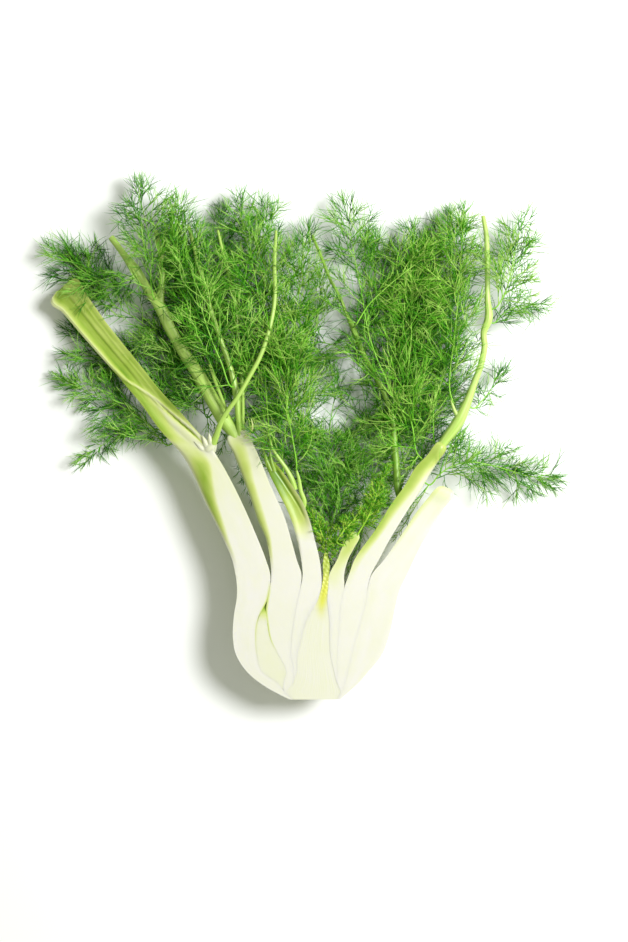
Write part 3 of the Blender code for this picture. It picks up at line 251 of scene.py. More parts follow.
# Round stems, as the middle and radius along each, from inside what carries it.
# More paths are its forks.
STEMS = {
    "sheath_left_outer": [
        [(-65.5, 95, 22, 3), (-62, 101.4, 25.2, 4.2), (-59.4, 105.4, 27.2, 4), (-57.8, 107.6, 28.4, 2.6)]],
    "stem_left_forked": [
        [(-43.6, 106.5, 25, 3), (-46.6, 113.4, 25.5, 3.6), (-51, 119.5, 25, 4.3),
         (-56.5, 128.5, 23.5, 4.2), (-66.5, 146.1, 21, 3.7), (-76.8, 162.2, 19.5, 3.4),
         (-83.6, 174.2, 18.8, 3.3), (-89, 186, 18.6, 3.5), (-95.6, 195, 18.2, 2.6),
         (-100.6, 203.4, 18, 2.7), (-103.4, 207.4, 18, 3), (-109.2, 215.2, 17.4, 2.1),
         (-117.6, 226.5, 16.4, 1.8)],
        [(-89, 185, 18.8, 2.2), (-88.2, 197.1, 19.6, 1.9), (-87.7, 206.3, 19.8, 1.8),
         (-88.6, 216, 19.6, 1.6), (-91.5, 230, 18.8, 1.3)]],
    "stem_left_long": [
        [(-42.4, 108.5, 26.5, 1.6), (-43, 116.5, 27.8, 1.6), (-43.6, 124, 29.5, 1.6),
         (-44.2, 132.9, 30, 2.1), (-48.1, 150.7, 30, 1.6), (-52.7, 163.9, 29.5, 1.5),
         (-56.7, 175.3, 29, 1.5), (-60.2, 186.2, 28.5, 1.5), (-64.2, 200, 27.5, 1.4),
         (-67.6, 213.2, 26, 1.3), (-72.2, 232.1, 23, 1)]],
    "stem_left_slim": [
        [(-40.6, 108, 23.8, 1.1), (-41, 117, 23, 1.1), (-41.2, 134.7, 24, 1.2), (-43.6, 165, 24, 1.1),
         (-46.2, 190.8, 23.5, 1.1), (-48.7, 201.7, 23, 1.1), (-51.6, 213.2, 22, 1),
         (-55.6, 230.3, 20, 0.8)]],
    "stem_left_crossing": [
        [(-59, 105.4, 27.6, 2.6), (-57.1, 108.7, 29.6, 2.1), (-52.2, 120.8, 34.6, 1.5),
         (-48.4, 126.5, 35.8, 1.35), (-44.1, 132.4, 36.6, 1.3), (-36.7, 145, 36.6, 1.3),
         (-30.9, 155.9, 36, 1.3), (-25.8, 170.8, 35, 1.3), (-22.9, 184.5, 33.6, 1.2),
         (-22.6, 212.6, 29, 1.1), (-21.8, 229.2, 25.5, 0.8)]],
    "stem_left_short": [
        [(-50.4, 120.6, 27, 0.7), (-49.6, 124.6, 31.4, 0.7), (-52.6, 132, 31.2, 0.9),
         (-57.3, 144.4, 29.6, 0.9), (-60, 152, 28, 0.7)]],
    "stem_middle": [
        [(51.5, 72, 21.5, 2.3), (48.8, 80, 21, 2.3), (47.8, 91, 20.5, 2.1), (46.6, 106, 20.5, 1.7),
         (44.6, 124.9, 20.5, 1.4), (40.7, 135.2, 20, 1.4), (34.4, 147.8, 19.5, 1.3),
         (28.6, 158.7, 19, 1.3), (22.9, 173, 18.5, 1.6), (18.9, 181.6, 18, 1), (14.9, 192, 17.4, 0.9),
         (9.2, 202.3, 16.6, 0.9), (5.7, 211.4, 15.8, 0.9), (-1.1, 228.1, 14, 0.8)]],
    "stem_heart_left": [
        [(-10.8, 80.5, 27, 1.6), (-12.8, 86.4, 28.6, 1.5), (-16, 92.4, 29.4, 1.25),
         (-20.4, 98.6, 30, 1.05), (-23.6, 103.6, 30, 0.85), (-25.8, 112, 29.4, 0.5)]],
    "stem_heart_right": [
        [(-6.6, 68.5, 26.4, 1.5), (-5.6, 73, 27, 1.5), (-7.6, 79.5, 27.6, 1.25), (-8.6, 86, 28, 1),
         (-10.2, 92, 28.4, 0.55)]],
    "sheath_right_middle": [
        [(62, 89, 25.2, 2.2), (67.6, 97.2, 25.7, 2.5), (73.4, 106, 26.3, 2.7), (83.4, 120.3, 27, 3.4),
         (87.9, 130.1, 27, 2.6), (91.7, 140.4, 27, 2), (96.3, 153.6, 27, 1.8), (98, 163.3, 27.2, 1.8),
         (97.4, 169.6, 27.4, 1.8), (100.3, 178.8, 28, 2.4), (99.8, 189.1, 27.2, 1.7),
         (99.7, 212, 25.6, 1.6), (99.1, 228.1, 24, 1.4), (97.4, 238, 23, 1.1)],
        [(83.6, 120.6, 27.4, 1.6), (80.4, 126.4, 28, 1), (78.6, 132, 28.8, 0.6)]],
}
# Small torn or curled bits at the tops of the leaf bases.
TORN_BITS = {
    "sheath_left_outer": [
        [(-60.6, 102.8, 27, 2.6), (-62.4, 107.4, 29.4, 1.7), (-64, 111.4, 30.6, 0.1)],
        [(-58.8, 104, 27.4, 2.6), (-59.6, 109, 30, 1.5), (-60.2, 112.8, 31, 0.1)],
        [(-62.4, 101.2, 27, 2.6), (-65.8, 105.4, 28.8, 1.6), (-68.6, 108, 29.6, 0.1)]],
    "sheath_left_inner": [
        [(-24.6, 91, 27.6, 1.8), (-27.2, 97, 28.6, 1.2), (-29, 103, 28.8, 0.2)],
        [(-22.8, 91, 28, 1.6), (-24.6, 97.6, 29.2, 1), (-25.4, 104.6, 29.6, 0.2)]],
    "sheath_left_middle": [
        [(-39.8, 110.4, 28.8, 1), (-36.4, 113, 29.8, 0.8), (-35.2, 116.6, 30.4, 0.6),
         (-36, 121, 30.4, 0.25)]],
}
# The material of a stem that grows out of a leaf base, and how green each one is.
STEM_KINDS = {"sheath_left_outer": FLESH, "sheath_right_middle": STEM}
STEM_TONE = 0.45
STEM_TONES = {"sheath_left_outer": 0.12, "sheath_right_middle": 0.3, "stem_left_forked": 0.36,
              "stem_left_crossing": 0.4, "stem_middle": 0.7, "stem_heart_left": 0.4,
              "stem_heart_right": 0.4}
TORN_TONES = {"sheath_left_outer": 0.12, "sheath_left_middle": 0.4, "sheath_left_inner": 0.85}

# The growing point: y, middle, half width and depth.
HEART_Z = CUT_Z - 0.05
HEART = [(11.2, 3.6, 4.6, 5), (12.6, 3.9, 4.2, 5), (17.2, 4.95, 2.9, 4.5), (24, 6.15, 1.9, 4),
         (31, 6.9, 1.7, 4), (38, 7, 1.9, 4), (44, 6.6, 0.8, 2)]
# How its knobs rise and turn green. Yellow is strong along its middle, over a half
# width in millimetres, and fades towards its tip.
HEART_CROWN = (15, 24, 0.22)
HEART_GREEN = (16, 38, 0.6)
KNOB_GREEN = (14, 20, 0.06)
GLOW = (3, 17, 0.95)
GLOW_END = (22, 36, 0.75)
GLOW_MIDDLE = ((4, 12, 17.2, 24), (4.2, 4.2, 5, 6.2))
GLOW_WIDTH = ((4, 12, 20), (2, 2.6, 4))

# Fronds: kind, reach of the side branches at the root and half way, and the slim stem that carries them.
# The dark kind is painted shade, given to the fronds that lie low under the others, and the bright kind is
# painted light, given to the fronds on top. The smallest curled leaves come last.
FRONDS = {
    "frond_left_low": ("mid", 12, 7, [
        (-72, 103, 12), (-82, 112, 11), (-96, 116, 9), (-112, 112.5, 6.5), (-128, 103.5, 4)]),
    "frond_left_side": ("mid", 28, 18, [
        (-84, 106, 14), (-98, 120, 12), (-115, 130, 10), (-127, 135, 8.4), (-136, 139, 6.5)]),
    "frond_left_shade": ("dark", 25, 22, [
        (-78, 132, 8), (-92, 146, 7), (-108, 154, 6), (-122, 156, 5), (-134, 166, 4)]),
    "frond_left_gap": ("mid", 25, 21, [
        (-76, 154, 13), (-89, 168, 11), (-104, 180, 9), (-120, 190, 7), (-134, 206, 5)]),
    "frond_left_top": ("dark", 23, 20, [
        (-104, 204, 14), (-116, 200, 12), (-129, 204, 10), (-143, 214, 8)]),
    "frond_fork": ("mid", 23, 20, [
        (-92, 190, 23), (-94, 202, 26), (-93, 216, 26), (-96, 230, 24), (-100, 246, 18)]),
    "frond_under_stem": ("dark", 27, 22, [
        (-62, 122, 14), (-66, 138, 12), (-72, 154, 10), (-76, 172, 9), (-78, 192, 8), (-80, 216, 7)]),
    "frond_between": ("mid", 25, 22, [
        (-52, 132, 17), (-58, 148, 17), (-66, 166, 18), (-72, 184, 19), (-76, 204, 19), (-80, 226, 16)]),
    "frond_long_stem": ("mid", 24, 21, [
        (-47, 139, 34), (-53, 153, 35), (-60, 170, 35), (-66, 190, 34), (-71, 210, 31), (-78, 236, 24)]),
    "frond_slim_stem": ("dark", 24, 21, [
        (-46, 122, 18), (-40, 140, 15), (-40, 162, 14), (-44, 184, 13), (-50, 206, 12), (-54, 232, 9)]),
    "frond_crossing": ("mid", 24, 21, [
        (-38, 148, 33), (-33, 162, 31), (-31, 180, 29), (-33, 198, 27), (-37, 216, 24), (-42, 238, 18)]),
    "frond_centre_bright": ("bright", 26, 22, [
        (-26, 114, 26), (-27, 128, 25), (-28, 146, 24), (-26, 166, 22), (-24, 188, 20), (-26, 212, 16),
        (-28, 236, 11)]),
    "frond_centre_high": ("bright", 24, 21, [
        (-10, 94, 31), (-12, 108, 33), (-15, 126, 33), (-15, 146, 31), (-12, 168, 28), (-9, 192, 24),
        (-6, 220, 17)]),
    "frond_centre_low": ("mid", 23, 21, [
        (-18, 88, 20), (-18, 104, 16), (-12, 124, 13), (-6, 144, 11), (0, 168, 9), (4, 194, 7)]),
    "frond_heart_back": ("dark", 22, 22, [
        (4, 52, 10), (6, 68, 9), (6, 84, 8), (8, 102, 7), (10, 122, 6), (14, 144, 4)]),
    "frond_heart_front": ("dark", 22, 19, [
        (10, 54, 21), (12, 66, 19), (14, 80, 18), (12, 94, 17), (6, 108, 15)]),
    "frond_heart_right": ("mid", 22, 21, [
        (30, 62, 14), (33, 76, 12), (34, 92, 10), (33, 110, 8), (30, 130, 7), (26, 152, 5)]),
    "frond_middle_stem": ("mid", 25, 22, [
        (46, 128, 25), (42, 142, 26), (36, 156, 26), (31, 172, 25), (28, 190, 23), (24, 212, 19),
        (20, 236, 14)]),
    "frond_middle_side": ("bright", 23, 20, [
        (24, 175, 24), (31, 186, 25), (41, 196, 25), (53, 206, 23), (66, 216, 19)]),
    "frond_middle_low": ("mid", 24, 20, [
        (36, 140, 20), (28, 150, 18), (20, 158, 15), (12, 164, 12), (4, 166, 8)]),
    "frond_right_fan_left": ("mid", 26, 23, [
        (52, 92, 14), (50, 108, 14), (47, 126, 15), (46, 146, 15), (43, 168, 14), (40, 190, 12),
        (38, 218, 8)]),
    "frond_right_fan_middle": ("bright", 26, 23, [
        (60, 100, 26), (57, 114, 27), (54, 130, 27), (54, 148, 26), (56, 168, 24), (56, 190, 21),
        (56, 220, 15)]),
    "frond_right_fan_right": ("mid", 26, 23, [
        (70, 106, 20), (69, 120, 19), (70, 138, 19), (73, 156, 18), (75, 178, 16), (76, 200, 13),
        (78, 228, 8)]),
    "frond_right_stem": ("bright", 22, 20, [
        (78, 136, 30), (78, 148, 31), (80, 164, 30), (82, 182, 28), (84, 204, 24), (86, 230, 17)]),
    "frond_right_shade": ("dark", 24, 22, [
        (62, 92, 12), (63, 108, 9), (62, 126, 8), (64, 146, 7), (66, 168, 6), (64, 192, 5), (66, 216, 3)]),
    "frond_right_top": ("bright", 17, 18, [
        (103, 184, 29), (108, 190, 29), (112, 200, 27), (115, 214, 24), (119, 230, 19)]),
    "frond_right_out": ("mid", 8, 5, [
        (103, 176, 25), (109, 181.5, 22.4), (115, 185, 20), (122, 186, 17)]),
    "frond_right_small": ("mid", 8, 6, [
        (92, 127, 25), (96, 130.5, 23.4), (99.5, 134.5, 21.8), (103, 139, 19)]),
    "frond_right_low": ("bright", 18, 16, [
        (66, 83, 27), (72, 89, 27), (80, 94, 25), (92, 96, 21), (104, 94, 16.5), (115, 91, 12),
        (123, 88.5, 8.6), (130, 87.5, 6)]),
    "young_leaf_heart": ("young", 8, 7, [
        (13, 50.2, 31), (15, 54, 32.4), (18, 58.2, 33), (22, 62.2, 32.8)]),
    "young_leaf_side": ("young", 8, 7, [
        (27, 58, 30), (30, 63, 32), (33, 70, 34), (36, 78, 35), (38, 86, 34)]),
    "young_leaf_back": ("young", 8, 7, [
        (5, 46, 25), (6, 50, 27), (4, 56, 27), (1, 62, 25)]),
}

# Branches that reach out of a frond's main spray: a start, and the direction and
# length of each branch from there.
REACHING = {
    "frond_left_side": [
        ((-136, 139, 6.5), (-0.9, 0.5, -0.1, 16), (-1, 0, -0.1, 11), (-0.6, 0.9, -0.1, 14))],
    "frond_left_shade": [
        ((-122, 156, 5), (-0.3, 1, 0.2, 15), (-0.9, 0.3, 0.4, 16)),
        ((-108, 154, 6), (-0.5, 0.9, 0.3, 16), (-0.8, -0.4, 0.5, 16)),
        ((-115, 155, 5.5), (-0.6, 0.7, 0.6, 15))],
    "frond_right_top": [
        ((108, 190, 29), (0.9, 0.1, -0.1, 17)),
        ((109, 193, 28.5), (0.9, 0.5, -0.3, 17)),
        ((112, 200, 27), (0.9, 0.6, -0.2, 17), (-0.6, 0.8, 0, 12), (1, 0.1, -0.3, 15))],
    "frond_right_low": [
        ((66, 83, 27), (-0.62, -0.75, -0.3, 26), (-0.5, -0.85, -0.45, 38))],
    "frond_slim_stem": [
        ((-46, 122, 18), (0.1, -1, -0.25, 36), (0.2, -1, -0.3, 50), (-0.35, -0.8, -0.2, 20))],
    "frond_under_stem": [
        ((-62, 122, 14), (0.1, -1, 0, 12)),
        ((-63, 126, 13.5), (-0.9, 0.2, 0.1, 17)),
        ((-64, 131, 13), (-0.9, -0.3, 0.1, 13)),
        ((-65, 135, 12.5), (-0.9, 0.6, 0.2, 18)),
        ((-62.5, 124, 13.8), (0.6, -0.7, 0.1, 14))],
    "frond_right_fan_left": [
        ((51, 98, 14), (-0.9, -0.6, 0.2, 20)),
        ((52, 94, 14), (-0.5, -0.9, 0.3, 18)),
        ((51, 98, 14), (-0.9, 0.3, 0.3, 18)),
        ((51, 104, 14), (-0.7, 0.5, 0.6, 16)),
        ((52, 94, 14), (0.3, 0.7, 0.7, 18)),
        ((51, 100, 14), (0.6, 0.7, 0.6, 18))],
    "frond_centre_bright": [
        ((-26, 114, 26), (-0.3, -1, -0.3, 20), (-0.7, -0.6, 0, 15), (-0.9, 0.2, 0.1, 16))],
    "frond_centre_low": [
        ((-18, 98, 17), (-0.6, 0.9, 0.1, 20)),
        ((-18, 104, 16), (-0.9, 0.2, 0.2, 16)),
        ((-18, 96, 17), (-0.9, -0.1, 0.2, 14))],
    "frond_heart_front": [
        ((10, 54, 21), (-0.9, 0.2, 0.1, 14), (0.7, 0.7, 0.3, 14), (-0.4, 0.9, 0.1, 24), (0.3, 1, 0.2, 24))],
    "frond_heart_right": [
        ((30, 62, 14), (-0.33, -0.93, 0.1, 30), (-0.33, -0.93, 0.3, 27), (-0.3, -0.95, 0.5, 22),
         (0.6, 0.8, 0.5, 16), (-0.5, 0.8, 0.7, 16), (0.2, 0.9, 0.9, 18), (0.8, 0.6, 0.3, 15),
         (0.9, 0.4, 0.7, 12))],
    "frond_right_fan_middle": [
        ((60, 100, 26), (-0.5, -0.9, -0.2, 17), (-0.6, -0.8, 0, 14), (-0.8, -0.5, -0.4, 16))],
    "frond_right_shade": [
        ((62, 92, 12), (-0.6, -0.5, 0.5, 16), (-0.8, 0.2, 0.4, 16))],
    "frond_heart_back": [
        ((4, 52, 10), (0.4, -1, 0.5, 20), (0.8, -0.8, 0.4, 18), (0.15, -1, 0.8, 20), (1, -0.3, 0.6, 20),
         (0.5, 1, 0.3, 30), (1, 0.6, 0.4, 24))],
    "young_leaf_back": [
        ((7, 33, 29), (-0.1, 1, 0.1, 7)),
        ((7.2, 36, 29), (0.3, 1, 0.1, 8)),
        ((7, 39, 29), (-0.1, 1, 0, 10)),
        ((6.8, 41, 29), (0.2, 1, 0.2, 11)),
        ((7.2, 38, 28), (0.7, 0.8, 0, 9)),
        ((6.6, 42, 28), (-0.3, 1, -0.2, 9))],
    "young_leaf_heart": [
        ((13.2, 41, 29), (-0.7, 0.7, 0.2, 6)),
        ((14.4, 43.6, 29), (-0.6, 0.8, 0.3, 8)),
        ((16, 46.4, 29), (-0.5, 0.9, 0.3, 9)),
        ((18.4, 50, 29), (-0.2, 1, 0.3, 10)),
        ((20.4, 52, 29), (0.3, 1, 0.2, 10))],
}

# How each kind grows: the spacing of branches and of threads, the length of the
# threads on the main spray and on the outer branches, and the slim stem's radius.
GROWTH = {
    "dark": (2.3, 2.2, 14.5, 7.0, 0.45),
    "mid": (2.4, 2.2, 14.5, 7.0, 0.45),
    "bright": (2.4, 2.2, 14.5, 7.0, 0.45),
    "young": (0.8, 0.7, 4.0, 3.0, 0.6),
}
SHORT_TWIGS = {"frond_left_low": 9.5}
# Radii of a branch at its two ends, of a thread leaf, its forks and their tips.
BRANCH = (0.3, 0.14)
THREAD = 0.26
FORKED = 0.22
THREAD_TIP = 0.09
BRANCH_STEPS = 5
# Where the forks leave a thread leaf, in steps along it, and their share of its length.
FORKS = ((0.6, 0.9), (1.4, 0.7))
# The slim stem's tip, its tones at both ends and the millimetres between its points.
MIDRIB_TIP = 0.2
MIDRIB_TONES = (0.75, 0.9)
MIDRIB_STEP = 1.5
# From this share of the slim stem on, the side branches lose up to this share.
END_FROM = 0.6
END_LOSS = 0.6
# Mean and spread of the side branches' rise, in degrees.
LIFT = (-5.0, 28.0)
# How far threads may pass the solid leaf's box, and how they keep off the stalks.
BOX_SPARE = (6.0, 6.0, 1.0)
WALL_SEARCH = 4.0
WALL_GAP = 0.4
ROOT_SINK = 0.6
TABLE_TOUCH = 0.3
# Places between the leaves where the table shows: middle and half sizes. A spot is
# also kept clear where the leaf's shadow falls, by its height.
BARE = [(7.4, 123, 9, 7), (26, 134, 4, 5.5), (20, 150, 5, 8), (-113, 179.6, 9, 5.5),
        (20.5, 198, 3, 11), (7, 172, 7, 10)]
BARE_SHARE = 0.75
SLANT = (0.76, 0.3)

# Leaf colours from a thread in the shade through a lit one to the slim stem.
LEAF_COLOURS = {
    "dark": [(18, 66, 6), (54, 132, 18), (100, 178, 36), (162, 210, 96)],
    "mid": [(22, 76, 6), (62, 146, 18), (112, 188, 40), (174, 218, 104)],
    "bright": [(26, 88, 6), (66, 152, 16), (114, 190, 38), (176, 216, 100)],
    "young": [(36, 108, 8), (80, 164, 20), (130, 200, 40), (200, 224, 92)],
}
# The tone of a kind's brightest thread, lowest for the dark kind as painted shade. Painted light raises the
# tone above the slim stem and painted shade lowers it below, and it is more at the tip.
BRIGHTEST = {"dark": 0.85, "mid": 0.95, "bright": 1.0, "young": 0.9}
PAINTED_LIGHT_BY_HEIGHT = 0.036
PAINTED_LIGHT_LIMIT = 0.3
TIP_TONE = 0.2
FLESH_COLOURS = [(218, 216, 209), (208, 213, 160), (184, 198, 106), (146, 174, 58), (104, 144, 32)]
STEM_COLOURS = [(208, 222, 160), (176, 207, 100), (136, 178, 58), (98, 148, 36)]
HEART_YELLOW = (206, 208, 66)
TABLE_COLOURS = [(246, 247, 248), (252, 252, 252)]

# Table, light and camera, in metres.
TABLE_HALF = 3.0
SKY_COLOUR = (0.96, 1.0, 0.83, 1.0)
SKY_STRENGTH = 0.42
WINDOW_AT = (0.80, 0.40, 1.05)
WINDOW_AIM = (0.0, 0.09, 0.0)
WINDOW_SIZE = 0.6
WINDOW_POWER = 25.0
EYE_AT = (0.0, 0.091, 1.305)
LENS = 85.0


def srgb(colour):
    """Red, green and blue from 0 to 255 as the linear values that a shader takes."""
    parts = [c / 255 for c in colour]
    return [c / 12.92 if c <= 0.04045 else ((c + 0.055) / 1.055) ** 2.4 for c in parts] + [1.0]


def smoothstep(low, high, value):
    t = np.clip((value - low) / (high - low), 0.0, 1.0)
    return t * t * (3.0 - 2.0 * t)


def rise(value, start, full, strength):
    return strength * smoothstep(start, full, value)


def unit(vectors):
    return vectors / np.linalg.norm(vectors, axis=-1, keepdims=True)


def add_object(name, data):
    obj = bpy.data.objects.new(name, data)
    bpy.context.scene.collection.objects.link(obj)
    return obj


# Materials


class Surface:
    """A material that is built up from nodes."""

    def __init__(self, name, roughness, soft=0.0, soft_depth=0.0):
        self.material = bpy.data.materials.new(name)
        self.material.use_nodes = True
        self.nodes = self.material.node_tree.nodes
        self.links = self.material.node_tree.links
        self.shader = self.nodes["Principled BSDF"]
        self.shader.inputs["Roughness"].default_value = roughness
        if soft:
            self.shader.inputs["Subsurface Weight"].default_value = soft
            self.shader.inputs["Subsurface Radius"].default_value = (1.0, 1.0, 0.6)
            self.shader.inputs["Subsurface Scale"].default_value = soft_depth * MM

    def feed(self, socket, value):
        """Gives a socket a value, or joins it to the output of another node."""
        if isinstance(value, bpy.types.NodeSocket):
            self.links.new(value, socket)
        else:
            socket.default_value = value

    def node(self, kind, **values):
        node = self.nodes.new("ShaderNode" + kind)
        for name, value in values.items():
            self.feed(node.inputs[name], value)
        return node

    def attribute(self, name):
        node = self.node("Attribute")
        node.attribute_name = name
        return node.outputs["Fac"]

    def grain(self, across, along, detail):
        """Noise drawn out along the growth, with features of a size in millimetres."""
        growth = self.node("UVMap")
        growth.uv_map = "growth"
        scaled = self.node("Mapping", Vector=growth.outputs["UV"], Scale=(1.0 / across, 1.0 / along, 1.0))
        noise = self.node("TexNoise", Vector=scaled.outputs["Vector"], Scale=1.0, Detail=detail)
        noise.noise_dimensions = "2D"
        return noise.outputs["Fac"]

    def blotch(self, size):
        """Soft noise through the whole body, with features of a size in millimetres."""
        place = self.node("TexCoord").outputs["Object"]
        return self.node("TexNoise", Vector=place, Scale=1.0 / (size * MM), Detail=2.0).outputs["Fac"]

    def calculate(self, operation, *values):
        node = self.node("Math")
        node.operation = operation
        for socket, value in zip(node.inputs, values):
            self.feed(socket, value)
        return node.outputs[0]

    def varied(self, noise, swing):
        """The tone that the mesh carries, raised and lowered by a noise."""
        tone = self.calculate("MULTIPLY_ADD", noise, swing, self.attribute("tone"))
        return self.calculate("SUBTRACT", tone, swing / 2)

    def ramp(self, factor, stops):
        """Colours at even steps over a factor from 0 to 1."""
        node = self.node("ValToRGB", Fac=factor)
        elements = node.color_ramp.elements
        while len(elements) < len(stops):
            elements.new(0.5)
        for k, colour in enumerate(stops):
            elements[k].position = k / (len(stops) - 1)
            elements[k].color = srgb(colour)
        return node.outputs["Color"]

    def tint(self, factor, base, colour):
        node = self.node("Mix")
        node.data_type = "RGBA"
        for k, value in ((0, factor), (6, base), (7, srgb(colour))):
            self.feed(node.inputs[k], value)
        return node.outputs[2]

    def colour(self, socket):
        self.links.new(socket, self.shader.inputs["Base Color"])

    def bump(self, height, depth, strength):
        node = self.node("Bump", Height=height, Distance=depth * MM, Strength=strength)
        self.links.new(node.outputs["Normal"], self.shader.inputs["Normal"])


def flesh_surface():
    """The cut face: moist and creamy, with fine strands that run with the growth."""
    surface = Surface("cut_flesh", 0.38, soft=0.25, soft_depth=3.0)
    strands = surface.grain(0.55, 26.0, 4.0)
    tone = surface.attribute("tone")
    strength = surface.calculate("MULTIPLY_ADD", tone, 0.6, 0.12)
    centred = surface.calculate("SUBTRACT", strands, 0.5)
    tone = surface.calculate("MULTIPLY_ADD", centred, strength, tone)
    tone = surface.calculate("MULTIPLY_ADD", surface.blotch(9.0), 0.06, tone)
    base = surface.ramp(tone, FLESH_COLOURS)
    surface.colour(surface.tint(surface.attribute("warm"), base, HEART_YELLOW))
    surface.bump(strands, 0.12, 0.6)
    return surface.material


def skin_surface():
    """The uncut outside of a leaf base, finely ribbed along its length."""
    surface = Surface("ribbed_skin", 0.42, soft=0.15, soft_depth=2.0)
    ribs = surface.grain(1.1, 70.0, 2.0)
    tone = surface.calculate("MULTIPLY_ADD", surface.blotch(14.0), 0.08, surface.varied(ribs, 0.34))
    surface.colour(surface.ramp(tone, FLESH_COLOURS))
    surface.bump(ribs, 0.35, 0.7)
    return surface.material


def stem_surface():
    surface = Surface("ribbed_stem", 0.42, soft=0.1, soft_depth=1.5)
    ribs = surface.grain(0.7, 50.0, 2.0)
    surface.colour(surface.ramp(surface.varied(ribs, 0.5), STEM_COLOURS))
    surface.bump(ribs, 0.3, 0.8)
    return surface.material


def leaf_surface(kind):
    surface = Surface("leaf_" + kind, 0.55)
    surface.shader.inputs["Specular IOR Level"].default_value = 0.25
    surface.colour(surface.ramp(surface.varied(surface.blotch(16.0), 0.5), LEAF_COLOURS[kind]))
    return surface.material


# Meshes


def smooth(rows, spacing):
    """Rows of points joined by smooth curves, sampled about every so many millimetres."""
    rows = np.asarray(rows, float)
    middles = rows.reshape(len(rows), -1, rows.shape[-1])[..., :3].mean(axis=1)
    steps = np.linalg.norm(np.diff(middles, axis=0), axis=1)
    along = np.concatenate([[0.0], np.cumsum(steps)])
    slopes = np.gradient(rows, along, axis=0)
    count = max(2, round(along[-1] / spacing))
    wanted = np.linspace(0.0, along[-1], count + 1)
    k = np.clip(np.searchsorted(along, wanted, side="right") - 1, 0, len(rows) - 2)
    step = along[k + 1] - along[k]
    t = (wanted - along[k]) / step
    shape = (-1,) + (1,) * (rows.ndim - 1)
    t, step = t.reshape(shape), step.reshape(shape)
    start = (2 * t ** 3 - 3 * t ** 2 + 1) * rows[k] + (t ** 3 - 2 * t ** 2 + t) * step * slopes[k]
    end = (3 * t ** 2 - 2 * t ** 3) * rows[k + 1] + (t ** 3 - t ** 2) * step * slopes[k + 1]
    return start + end, wanted


def place(node, mesh, materials, slot):
    """Puts a finer piece where a node of the frame is."""
    piece = add_object(node + "_fine", mesh)
    for material in materials:
        mesh.materials.append(material)
    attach(piece, "root")
    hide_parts(node)


def spokes_round(along, guide, sides):
    """Unit vectors square to a line, as many at every point as a tube has sides."""
    first = unit(np.cross(along, guide))
    second = np.cross(along, first)
    turns = 2 * math.pi * np.arange(sides) / sides
    return first[..., None, :] * np.cos(turns)[:, None] + second[..., None, :] * np.sin(turns)[:, None]


def ring_mesh(node, parts):
    """One mesh of closed tubes. Each part has its rings, the distance along them, the material of
    every face round a ring, and its vertex values."""
    shape = bmesh.new()
    growth = shape.loops.layers.uv.new("growth")
    layers = {key: shape.verts.layers.float.new(key) for key in ("tone", "warm")}
    for rings, along, kinds, values in parts:
        verts = [[shape.verts.new(point) for point in ring] for ring in rings * MM]
        for key, layer in layers.items():
            for ring, numbers in zip(verts, values.get(key, [])):
                for vert, number in zip(ring, numbers):
                    vert[layer] = number
        girth = np.linalg.norm(np.diff(np.vstack([rings[0], rings[0][:1]]), axis=0), axis=1)
        around = np.concatenate([[0.0], np.cumsum(girth)])
        for row in range(len(verts) - 1):
            for k, kind in enumerate(kinds):
                after = (k + 1) % len(kinds)
                face = shape.faces.new((verts[row][k], verts[row][after],
                                        verts[row + 1][after], verts[row + 1][k]))
                face.material_index = kind
                marks = ((k, row), (k + 1, row), (k + 1, row + 1), (k, row + 1))
                for loop, (a, b) in zip(face.loops, marks):
                    loop[growth].uv = (around[a], along[b])
        for ring, turn in ((verts[0], 1), (verts[-1], -1)):
            shape.faces.new(ring[::turn]).material_index = kinds[-1]
    bmesh.ops.recalc_face_normals(shape, faces=shape.faces)
    for face in shape.faces:
        face.smooth = True
    for edge in shape.edges:
        edge.smooth = edge.calc_face_angle(0.0) < CREASE
    mesh = bpy.data.meshes.new(node + "_fine")
    shape.to_mesh(mesh)
    shape.free()
    return mesh


class Bundle:
    """Thin tapering tubes of many lengths, gathered into one mesh."""

    def __init__(self):
        self.groups = {}

    def add(self, points, thick, thin, tone, tip_tone, sides):
        radii = np.linspace(thick, thin, len(points))
        tones = np.linspace(tone, tip_tone, len(points))
        self.groups.setdefault((len(points), sides), []).append((points, radii, tones))

    def mesh(self, node):
        verts, faces, tones, start = [], [], [], 0
        for (count, sides), tubes in self.groups.items():
            points, radii, shades = (np.array(column, float) for column in zip(*tubes))
            along = unit(np.gradient(points, axis=1))
            upright = np.abs(along.mean(axis=1)[:, 2:]) > 0.9
            guide = np.where(upright, (1.0, 0.0, 0.0), (0.0, 0.0, 1.0))[:, None]
            spread = radii[..., None, None] * spokes_round(along, guide, sides)
            rings = (points[:, :, None] + spread)[:, :-1].reshape(len(tubes), -1, 3)
            solid = np.concatenate([rings, points[:, -1:]], axis=1)
            verts.append(solid.reshape(-1, 3))
            tones.append(np.hstack([np.repeat(shades[:, :-1], sides, axis=1), shades[:, -1:]]).ravel())
            firsts = start + solid.shape[1] * np.arange(len(tubes))
            k = np.arange(sides)
            after = (k + 1) % sides
            tip = (count - 1) * sides
            faces += (firsts[:, None] + k[::-1]).tolist()
            for low in range(0, tip - sides, sides):
                quads = np.stack([low + k, low + after, low + sides + after, low + sides + k], axis=1)
                faces += (firsts[:, None, None] + quads).reshape(-1, 4).tolist()
            ends = np.stack([tip - sides + k, tip - sides + after, np.full(sides, tip)], axis=1)
            faces += (firsts[:, None, None] + ends).reshape(-1, 3).tolist()
            start += solid.shape[1] * len(tubes)
        mesh = bpy.data.meshes.new(node + "_fine")
        mesh.from_pydata(np.concatenate(verts) * MM, [], faces)
        mesh.polygons.foreach_set("use_smooth", np.ones(len(faces), bool))
        tone = mesh.attributes.new("tone", "FLOAT", "POINT")
        tone.data.foreach_set("value", np.concatenate(tones).astype(np.float32))
        return mesh


# The bulb and its stalks

ANGLES = np.linspace(0.0, 180.0, 181)


